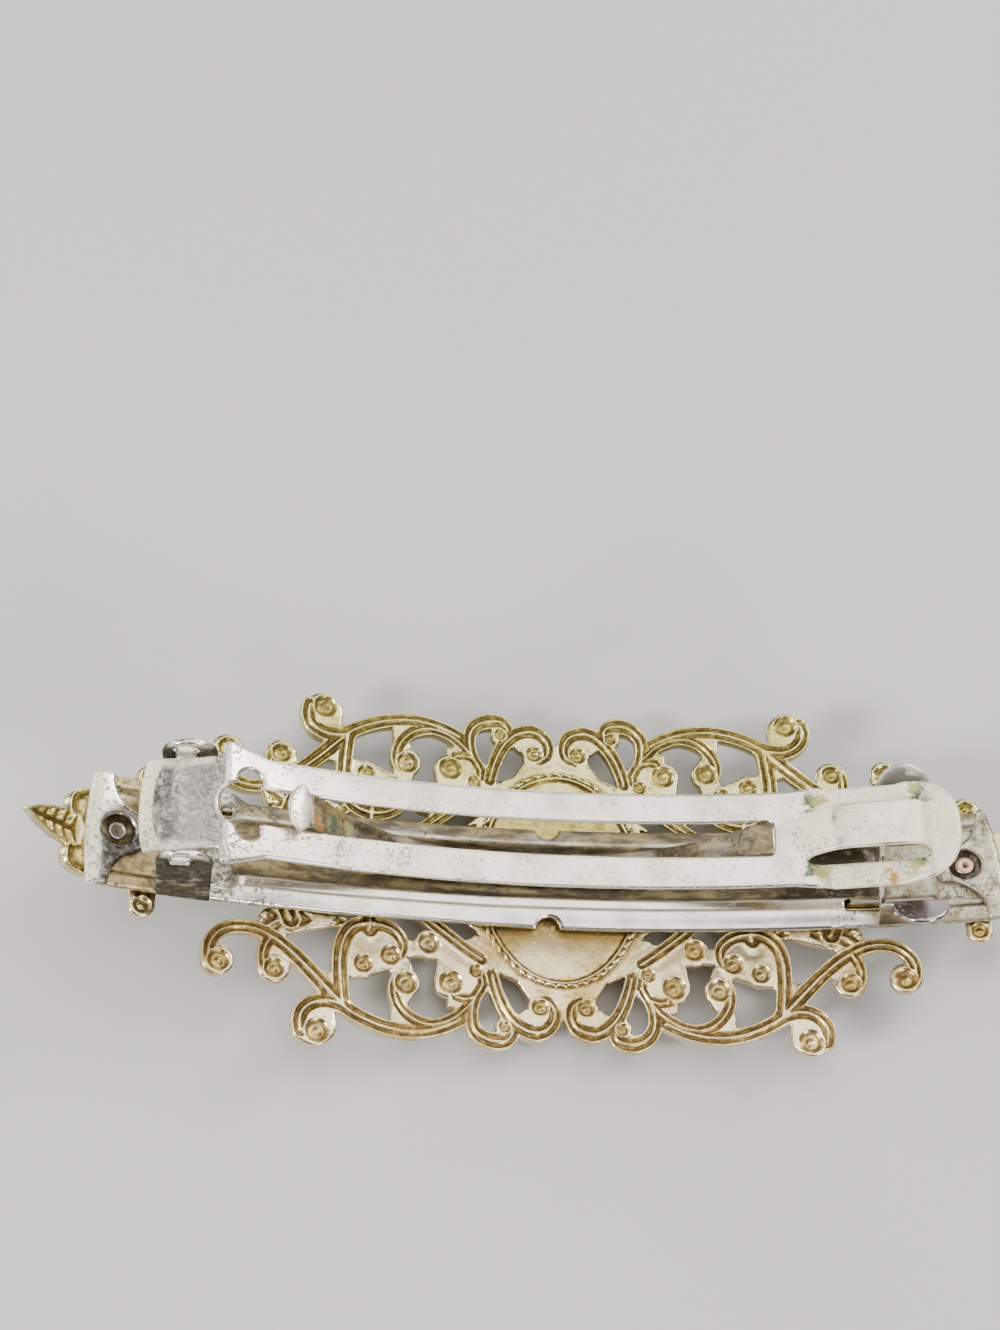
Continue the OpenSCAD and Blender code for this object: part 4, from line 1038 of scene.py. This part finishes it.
def tongue_path():
    x = np.linspace(HEEL_X, TIP_X + 0.3, 240)
    arms = np.stack([x, tongue_at(x)], -1)
    heel = rounded(np.concatenate([HEEL, arms[:1]]))[:-1]
    run = arc_lengths(np.concatenate([heel, arms[:1]]))
    points = np.concatenate([heel, arms]) + [0, BACK_Z]
    return Path(np.concatenate([HEEL_X - run[-1] + run[:-1], x]), points)


TONGUE_PATH = tongue_path()
HEEL_P = TONGUE_PATH.p[0]
HEEL_CURVE = 0.055  # how the cut end of the heel is rounded
SLOT_X0, SLOT_X1, SLOT_HALF = -26.5, 15.9, 1.45
STRAP_X0, STRAP_X1 = 18.6, 28.1
STRAP_GAP, STRAP_HALF, STRAP_RISE = 2.15, 1.9, 2.3
RAIL_DROP = 0.5
TIP_LIFT = 0.4
CROWN = 0.011


def tongue_lift(p, ay):
    """How far the sheet is pressed off its plain bow: crowned, sunk in both rails, turned up at its tip."""
    slant = np.clip(ay - 2.2, 0, 2.2)
    left, right = STRAP_X0 + 0.5 * slant, STRAP_X1 - 0.7 * slant
    rails = between(p, left - 0.1, left + 1.1, right - 1.0, right + 0.2) * smooth(1.85, 2.25, ay)
    root = 0.16 * bell(p, 16.9, 0.9) * bell(ay, 0, 1.3)
    return -CROWN * ay ** 2 * smooth(-29.6, -27.0, p) - RAIL_DROP * rails + TIP_LIFT * smooth(26.8, 30.4, p) + root


def tongue_field(p, y):
    """Outline, slot and window of the arms, and where painted dark reflections, painted highlights or pits lie on
    them.
    """
    ay = np.abs(y)
    dx = np.maximum(p - (TIP_X - TIP_R), 0) / TIP_R
    tip = ((dx ** 2.5 + (ay / TIP_R) ** 2.5) ** 0.4 - 1) * TIP_R
    d = smooth_min(sd_polygon(p, y, both_sides(SHOULDERS)), np.where(p > TIP_X - TIP_R - 1, tip, 9.0), 0.02)
    from_end = p - HEEL_P - HEEL_CURVE * y * y
    slot = sd_box(p, y, SLOT_X0, SLOT_X1, -SLOT_HALF, SLOT_HALF, 0.3)
    slot = smooth_min(slot, sd_disc(p, y, -27.5, -0.1, 1.8), 0.5)
    slot = smooth_min(slot, sd_disc(p, ay, -26.9, 2.0, 0.95), 0.15)
    window = sd_box(p, y, STRAP_X0, STRAP_X1, -STRAP_GAP - 0.15, STRAP_GAP + 0.15, 0.45)
    for cut in (-from_end, -slot, -window):
        d = np.maximum(d, cut)
    lift = tongue_lift(p, ay) + 0.03 * wobble(p, y, 11.0, 9.0) * smooth(HEEL_X, HEEL_X + 1, p)
    # painted dark reflection on the heel's mirror-bright part
    frost = smooth(1.35, 1.5, from_end) * smooth(-29.3, -29.9, p)
    frost = frost * mix(0.45, 1.0, smooth(-30.4, -33.6, p)) * (1 - 0.7 * smooth(2.7, 3.5, ay))
    rail = smooth(2.25, 2.45, ay) * between(p, STRAP_X0, STRAP_X0 + 1.2, STRAP_X1 - 1.2, STRAP_X1)
    # painted highlight: on the heel's cut end and sides, along the rails and over the upturned tip
    cream = smooth(1.6, 1.3, from_end) + rail + 0.7 * smooth(2.7, 3.4, ay) * smooth(-29.0, -30.0, p)
    cream = cream + 0.75 * smooth(26.6, 28.8, p)
    pits = 0.55 * smooth(-24, -28.5, p) + 0.35 * smooth(0.5, 2.5, -y) * smooth(12, -20, p)
    pits = pits + 0.25 * between(p, 13, 16, 17.5, 19.5) + 0.5 * frost + 0.4 * rail
    return sheet(d, lift, TONGUE_T, frost=frost, cream=np.clip(cream, 0, 1), pits=np.clip(pits, 0, 1))


def strap():
    """The raised strap between the two rails."""
    x0, x1 = STRAP_X0 - 1.2, STRAP_X1 + 1.2
    line = [(x0, -0.22), (STRAP_X0 - 0.4, 0.0), (STRAP_X0 + 1.2, STRAP_RISE - 0.45), (STRAP_X0 + 2.8, STRAP_RISE),
            ((x0 + x1) / 2, STRAP_RISE), (STRAP_X1 - 2.4, STRAP_RISE), (STRAP_X1 - 1.1, STRAP_RISE - 0.4),
            (STRAP_X1 + 0.4, -0.05), (x1, -0.22)]
    q = rounded(line)
    tip = TIP_LIFT * smooth(26.8, 30.4, q[:, 0]) * smooth(STRAP_X1 - 1.6, STRAP_X1, q[:, 0])
    points = np.stack([q[:, 0], tongue_at(q[:, 0]) + q[:, 1] + tip + BACK_Z], -1)
    run = arc_lengths(points)
    path = Path(run, points)

    def field(p, y):
        middle = np.abs(p - run[-1] / 2) / (run[-1] / 2)
        half = STRAP_HALF + 0.55 * smooth(0.72, 0.92, middle)
        d = np.maximum(np.abs(y) - half, -np.minimum(p, run[-1] - p))
        lift = -0.010 * y ** 2 - 0.02 * smooth(0.8, 0.95, middle)
        ends = smooth(0.35, 0.6, middle)
        # painted highlight: half strength over the strap's top, full on its ramps
        return sheet(d, lift, TONGUE_T - 0.02, pits=0.25 * ends, cream=mix(0.5, 1.0, ends))

    return sheet_part(grid(-0.1, run[-1] + 0.1, 0.11), grid(-2.6, 2.6, 0.11), field, path.place, 0.16, 0.14)


SPRING_T = 0.45
SPRING_HALF = 1.3
HEAD_TURN = 150  # the way the spring's head slopes, in degrees


def heading(degrees):
    return np.array([math.cos(math.radians(degrees)), math.sin(math.radians(degrees))])


def spring_points():
    root = np.array([SLOT_X1, float(tongue_at(SLOT_X1))])
    root_dir, bend_r, bend, arc_r, tail_dir, tail = 191.8, 2.5, 42, 21, 126.2, 4.4
    arc_dir = root_dir + bend
    bend_c = root + bend_r * heading(root_dir + 90)
    start = bend_c + bend_r * heading(arc_dir - 90)
    arc_c = start + arc_r * heading(arc_dir - 90)
    line = [root - 1.4 * heading(root_dir)]
    line += [bend_c + bend_r * heading(root_dir - 90 + bend * i / 8) for i in range(9)]
    line += [arc_c + arc_r * heading(arc_dir + 90 + (tail_dir - arc_dir) * i / 80) for i in range(1, 81)]
    end = line[-1]
    line += [end + tail * heading(tail_dir) * i / 8 for i in range(1, 9)]
    return np.array(line)


def spring():
    points = spring_points()[::-1] + [0, BACK_Z]
    run = arc_lengths(points)
    path = Path(run, points)

    def field(p, y):
        d = np.maximum(np.abs(y) - SPRING_HALF, np.maximum(-p, p - run[-1]))
        bow = 1 - smooth(5.5, 4.5, p)
        return sheet(d, 0.06 * (y / SPRING_HALF) ** 2, SPRING_T, tarnish=0.62 + 0.25 * np.sin(p * 0.9) * bow,
                     dark=0.35 * bow, pits=0.5)

    return sheet_part(grid(-0.1, run[-1] + 0.1, 0.2), grid(-1.5, 1.5, 0.12), field, path.place, 0.1, 0.1)


def spring_head():
    """The pointed oval head that holds the spring above both arms."""
    along = heading(HEAD_TURN)
    up = np.array([along[1], -along[0]])
    middle = spring_points()[-1] + 0.8 * along

    def field(u, v):
        d = np.maximum(sd_disc(u, v, -1.25, 0, 2.4), sd_disc(u, v, 1.25, 0, 2.4))
        # painted highlight at half strength over the head
        return sheet(d, -0.16 * (u / 1.15) ** 2 - 0.05 * (v / 2) ** 2, SPRING_T, cream=0.5)

    def place(u, v, n):
        q = middle + u[:, None] * along + n[:, None] * up
        return upright(q[:, 0], v, q[:, 1])

    return mirrored(sheet_part(grid(-1.3, 1.3, 0.07), grid(-2.2, 2.2, 0.07), field, place, 0.16, 0.12))


def tabs():
    """The two hinge tabs, each from a side of the heel through its ear."""
    part = sheet_part(grid(PIVOT_X - 1, PIVOT_X + 1, 0.1), grid(3.4, 5.1, 0.1),
                      lambda x, y: sheet(sd_box(x, y, PIVOT_X - 0.8, PIVOT_X + 0.8, 3.6, 4.95, 0.15), 0.0, SHEET_T),
                      lambda x, y, n: upright(x, y, n + PIVOT_H), 0.08, 0.08)
    return joined([part, mirrored(part)])


def clip_tongue():
    arms = sheet_part(grid(HEEL_P - 0.1, TIP_X + 0.15, 0.15), grid(-5.3, 5.3, 0.12), tongue_field,
                      TONGUE_PATH.place, 0.22, 0.2)
    return joined([arms, strap(), spring(), spring_head(), tabs()])


# Rivets: rows of radius, height and dirt, turned about the rivet's axis
SHANK = [(0, -0.9, 0), (0.8, -0.9, 0), (0.95, -0.8, 0), (0.95, -0.58, 0), (0.5, -0.54, 1), (0.5, 0.84, 1)]
LEFT_RIVET = [(0.70, 0.85, 0.6), (0.73, 0.95, 0.2), (0.70, 1.03, 0), (0.62, 1.06, 0), (0.55, 1.03, 0),
              (0.50, 0.94, 0.6), (0.45, 0.86, 0.9), (0.25, 0.84, 0.8), (0.12, 0.78, 1), (0, 0.78, 1)]
RIGHT_RIVET = [(0.76, 0.85, 0.6), (0.8, 0.94, 0.4), (0.79, 1.02, 0.2), (0.72, 1.08, 0), (0.5, 1.1, 0), (0.25, 1.09, 0),
               (0.17, 1.04, 0.8), (0.1, 0.99, 1), (0, 0.97, 1)]
LEAST_R = 0.004  # for the rows on the axis


def rivet(head, x0):
    a = np.linspace(0, 2 * math.pi, 48, endpoint=False)
    rings, cavity = [], []
    for r, h, c in SHANK + head:
        r = max(r, LEAST_R)
        rings.append(stand(x0, r * np.cos(a), r * np.sin(a), h))
        cavity.append(np.full(len(a), float(c)))
    points, faces, marks = swept(rings, cavity)
    quads = faces.pop(4)[:, [0, 3, 2, 1]]
    dirt = marks["cavity"]
    return (points, {4: quads, **{k: v[:, ::-1] for k, v in faces.items()}},
            {"cavity": dirt, "gilt": 0.6 * dirt, "dark": 0.75 * dirt})


# The cameo: a domed ground and a carved bust in profile, of a general design
GROUND_TOP = -0.76  # levels from the plate's back
GROUND_FRONT = -2.06
GROUND_DOME = 0.35


def ground():
    rows = [(0.02, 0, GROUND_TOP, 0), (0.9, 0, GROUND_TOP, 0), (1, -0.08, GROUND_TOP, 0), (1, 0, GROUND_TOP - 0.08, 0),
            (1, 0, GROUND_FRONT + 0.1, 0), (1, -0.06, GROUND_FRONT + 0.02, 0), (1, -0.3, GROUND_FRONT - 0.02, 0)]
    for k in (0.93, 0.86, 0.75, 0.62, 0.48, 0.34, 0.2, 0.1, 0.02):
        rows.append((k, 0, GROUND_FRONT - GROUND_DOME * (1 - k * k), 0))
    return oval_sweep(rows, upright, 160)


HEAD = [(-1.2, 6.0), (0.6, 6.25), (1.7, 5.7), (2.15, 4.9), (2.3, 4.1), (2.25, 3.8), (3.0, 2.85), (2.9, 2.62),
        (2.5, 2.45), (2.70, 2.12), (2.60, 1.88), (2.68, 1.58), (2.42, 1.32), (2.5, 0.85), (2.2, 0.5), (1.75, 0.45),
        (1.05, 0.2), (0.9, -0.6), (1.0, -1.6), (1.5, -2.5), (-1.6, -2.5), (-1.4, -0.8), (-2.0, 1.2)]
CHEST = [(-1.5, -1.6), (0.95, -1.3), (1.75, -2.6), (2.6, -3.9), (2.7, -4.8), (1.9, -6.0), (0, -6.85), (-2.3, -6.3),
         (-3.7, -4.7), (-3.1, -3.0)]
HAIR = [(1.75, 5.6), (1.3, 6.3), (-0.1, 6.75), (-1.7, 6.3), (-2.6, 5.2), (-2.9, 3.6), (-2.6, 2.2), (-1.9, 1.2),
        (-1.1, 1.6), (-0.5, 2.4), (0.2, 3.4), (0.9, 4.4), (1.7, 4.9)]
CURLS = [(-2.75, 1.5, 0.95), (-2.15, 0.35, 0.75), (-1.5, -0.6, 0.6), (-1.35, 2.35, 0.65), (0.95, 5.35, 0.6),
         (-0.3, 5.9, 0.7), (-1.55, 5.35, 0.75)]
# Soft features as x, y, radius and rise: cheek, jaw, brow, eye, nostril, lips, chin and ear
FEATURES = [(1.25, 2.6, 0.75, 0.10), (0.9, 1.2, 0.6, 0.05), (1.95, 3.95, 0.35, 0.06), (1.72, 3.5, 0.30, -0.10),
            (1.78, 3.42, 0.15, 0.07), (2.35, 2.72, 0.22, 0.05), (2.3, 2.0, 0.16, 0.05), (2.3, 1.68, 0.16, 0.05),
            (2.15, 1.86, 0.12, -0.06), (2.15, 0.95, 0.3, 0.05), (0.1, 3.0, 0.3, 0.08), (0.2, 2.75, 0.15, -0.08)]
RELIEF = 0.69  # height of the bust


def softened(points, cut):
    """A closed outline with its corners cut twice."""
    q = np.asarray(points, float)
    for _ in range(2):
        after = np.roll(q, -1, axis=0)
        q = np.stack([mix(q, after, cut), mix(after, q, cut)], 1).reshape(-1, 2)
    return q


def pillow(d, reach):
    """A rounded rise from an outline inwards."""
    t = np.clip(-d / reach, 0, 1)
    return np.sqrt(1 - (1 - t) ** 2)


def figure():
    """The bust. It rises away from the ground, and is cut flat at the height on which the cameo rests."""
    face, bust, wig = softened(HEAD, 0.16), softened(CHEST, 0.25), softened(HAIR, 0.25)

    def field(x, y):
        head = sd_polygon(x, y, face) - 0.06
        chest = sd_polygon(x, y, bust) - 0.10
        hair = sd_polygon(x, y, wig) - 0.10
        rise = np.where(head < 0, 0.42 * pillow(head, 0.9) + 0.08, 0)
        for fx, fy, r, a in FEATURES:
            rise = rise + (head < 0) * a * np.exp(-((x - fx) ** 2 + (y - fy) ** 2) / (r * r))
        neck = smooth(0.4, -0.4, y - 0.35 * (x - 0.6))
        rise = rise - (head < 0) * 0.14 * neck
        folds = 0.05 * np.sin(2 * math.pi * (np.hypot(x - 1.6, y + 0.6) / 0.85))
        folds = folds * smooth(0, -0.5, chest) * smooth(-2.6, -3.2, y)
        rise = np.maximum(rise, np.where(chest < 0, 0.44 * pillow(chest, 1.2) + folds, 0))
        wave = np.sin(2 * math.pi * (np.hypot(x + 0.2, y - 3.4) * 0.25 + np.arctan2(y - 3.0, x + 0.6) * 2.3))
        strands = 0.045 * np.sin(2 * math.pi * (np.hypot(x - 1.6, y - 2.4) / 0.42 + 0.25 * wave))
        rise = np.maximum(rise, np.where(hair < 0, 0.5 * pillow(hair, 0.8) + 0.12 + strands, 0))
        d = np.minimum(np.minimum(head, chest), hair)
        for cx, cy, r in CURLS:
            rho = np.hypot(x - cx, y - cy) / (r * 0.95)
            twist = 0.5 + 0.5 * np.cos(2 * math.pi * (rho * 1.6 - np.arctan2(y - cy, x - cx) / (2 * math.pi)))
            rise = np.maximum(rise, np.where(rho < 1, 0.28 + 0.34 * dome(rho) - 0.09 * twist, 0))
            d = np.minimum(d, (rho - 1) * r * 0.95)
        rise = np.minimum(rise, RELIEF - 0.002)
        low = GROUND_FRONT - GROUND_DOME * (1 - (x / CAMEO_A) ** 2 - (y / CAMEO_B) ** 2)
        return {"d": d, "top": low + 0.02, "bottom": np.maximum(low - 0.05 - rise, -BACK_Z),
                "height": np.clip(rise / RELIEF, 0, 1)}

    return sheet_part(grid(-4.1, 3.4, 0.06), grid(-7.1, 7.1, 0.06), field, upright, 0.0, 0.12)


# Stage, lights and camera, in metres
FLOOR_HALF = 1.4


def linked(name, data):
    obj = bpy.data.objects.new(name, data)
    bpy.context.scene.collection.objects.link(obj)
    return obj


def floor():
    mesh = bpy.data.meshes.new("floor")
    corners = [(x * FLOOR_HALF, y * FLOOR_HALF, 0) for x, y in ((-1, -1), (1, -1), (1, 1), (-1, 1))]
    mesh.from_pydata(corners, [], [(0, 1, 2, 3)])
    obj = linked("floor", mesh)
    g = Graph("floor")
    mesh.materials.append(g.finish((0.52, 0.515, 0.51), 0.6, 0.0))


# Area lights: place, target, size, power and colour
LIGHTS = {
    "over": ((0.05, 0.10, 0.62), (0, 0, 0.01), (0.84, 0.76), 5.2, (1.0, 0.985, 0.96)),
    "side": ((-0.62, -0.30, 0.42), (0, 0, 0.01), (0.16, 0.16), 7.5, (1.0, 0.985, 0.965)),
    "end": ((0.54, 0.35, 0.48), (-0.03, 0, 0.01), (0.26, 0.26), 3.0, (1.0, 0.99, 0.97)),
    "left": ((-0.75, 0.38, 0.22), (0, 0, 0.01), (0.40, 0.36), 2.6, (1.0, 0.99, 0.97)),
    "near": ((0.38, -0.62, 0.40), (0, 0, 0.01), (0.30, 0.10), 3.0, (1.0, 0.98, 0.95)),
    "far": ((0.30, 0.72, 0.20), (0, 0, 0.01), (0.40, 0.10), 1.6, (1.0, 0.99, 0.96))}


def lights():
    world = bpy.data.worlds.new("studio")
    world.use_nodes = True
    background = world.node_tree.nodes["Background"]
    background.inputs["Color"].default_value = (0.94, 0.96, 1.0, 1)
    background.inputs["Strength"].default_value = 0.10
    bpy.context.scene.world = world
    for name, (place, target, size, power, colour) in LIGHTS.items():
        data = bpy.data.lights.new(name, "AREA")
        data.shape = "RECTANGLE"
        data.size, data.size_y = size
        data.energy = power
        data.color = colour
        obj = linked(name, data)
        obj.location = place
        obj.rotation_euler = (Vector(target) - Vector(place)).to_track_quat("-Z", "Y").to_euler()


# The camera: where it stands, which way it looks, and its lens, for a picture of 1000 by 1330
CAMERA_AZ = math.radians(-16.517)
CAMERA_EL = math.radians(62.859)
CAMERA_ROLL = math.radians(-17.513)
CAMERA_FAR = 171.0
CAMERA_OFFSET = (5.122, 18.354, CAMERA_FAR)  # to the right, down and forward, from the camera to the part
PICTURE_H = 1330
FOCAL_PX = 11.6 * CAMERA_FAR  # 11.6 pixels to the millimetre at the part
SENSOR = 36.0


def camera():
    az, el = CAMERA_AZ, CAMERA_EL
    forward = Vector((-math.sin(az) * math.cos(el), math.cos(az) * math.cos(el), -math.sin(el)))
    level = Vector((math.cos(az), math.sin(az), 0))
    down = forward.cross(level)
    c, s = math.cos(CAMERA_ROLL), math.sin(CAMERA_ROLL)
    right, low = c * level + s * down, -s * level + c * down
    across, below, ahead = CAMERA_OFFSET
    place = -(right * across + low * below + forward * ahead) + Vector((0, 0, BACK_Z))
    data = bpy.data.cameras.new("camera")
    data.sensor_fit = "VERTICAL"
    data.sensor_height = SENSOR
    data.lens = SENSOR * FOCAL_PX / PICTURE_H
    data.clip_start = 0.001
    obj = linked("camera", data)
    turn = Matrix((right, -low, -forward)).transposed().to_4x4()
    obj.matrix_world = Matrix.Translation(place * MM) @ turn
    bpy.context.scene.camera = obj


camera()
floor()
lights()

# Stains on the tongue: places, radius, colour and how much they dull the metal
TONGUE_STAINS = [
    ([(-20.2, -0.3, 14.2), (18.9, -2.7, 14.7), (19.3, 3.0, 14.9), (27.5, 3.3, 17.4), (27.4, -2.6, 17.3)], 1.0,
     (0.070, 0.120, 0.055), 0.85),
    ([(19.6, -3.1, 14.9), (19.8, 3.2, 15.0), (27.2, 3.6, 17.3), (26.9, -2.9, 17.2)], 0.7, (0.40, 0.38, 0.13), 0.6),
    ([(-21.7, -1.1, 15.9), (25.2, -3.7, 16.2), (27.9, -3.3, 17.2)], 0.75, (0.46, 0.22, 0.055), 0.75),
    ([(-18.6, 0.2, 12.4), (27.0, -3.6, 16.9)], 0.9, (0.50, 0.47, 0.22), 0.6)]

cast = cast_metal()
base_steel = nickel("clip_base_steel", tint=(0.95, 0.90, 0.82), rough=0.1)
tongue_steel = nickel("clip_tongue_steel", tint=(0.92, 0.84, 0.745), rough=0.17, pit=(0.36, 0.33, 0.29), grit=3600,
                      stains=TONGUE_STAINS)
left_rivet_steel = nickel("rivet_steel", tint=(0.78, 0.72, 0.66), rough=0.2)

make_piece("filigree_plate", filigree(), cast, "root", ["filigree"], 190000)
make_piece("filigree_ring", ring_and_cup(), cast, "root", [])
make_piece("clip_base_sheet", clip_base(), base_steel, "root", ["clip_base"], 190000)
make_piece("clip_tongue_sheet", clip_tongue(), tongue_steel, "tongue", ["clip_tongue"], 190000)
make_piece("rivet_left_tube", rivet(LEFT_RIVET, RIVET_X[0]), left_rivet_steel, "root", ["rivet_left"])
make_piece("rivet_right_head", rivet(RIGHT_RIVET, RIVET_X[1]), copper(), "root", ["rivet_right"])
make_piece("cameo_oval", ground(), shell_ground(), "root", ["cameo_ground"])
make_piece("cameo_bust", figure(), carved_relief(), "root", ["cameo_figure"], 90000)
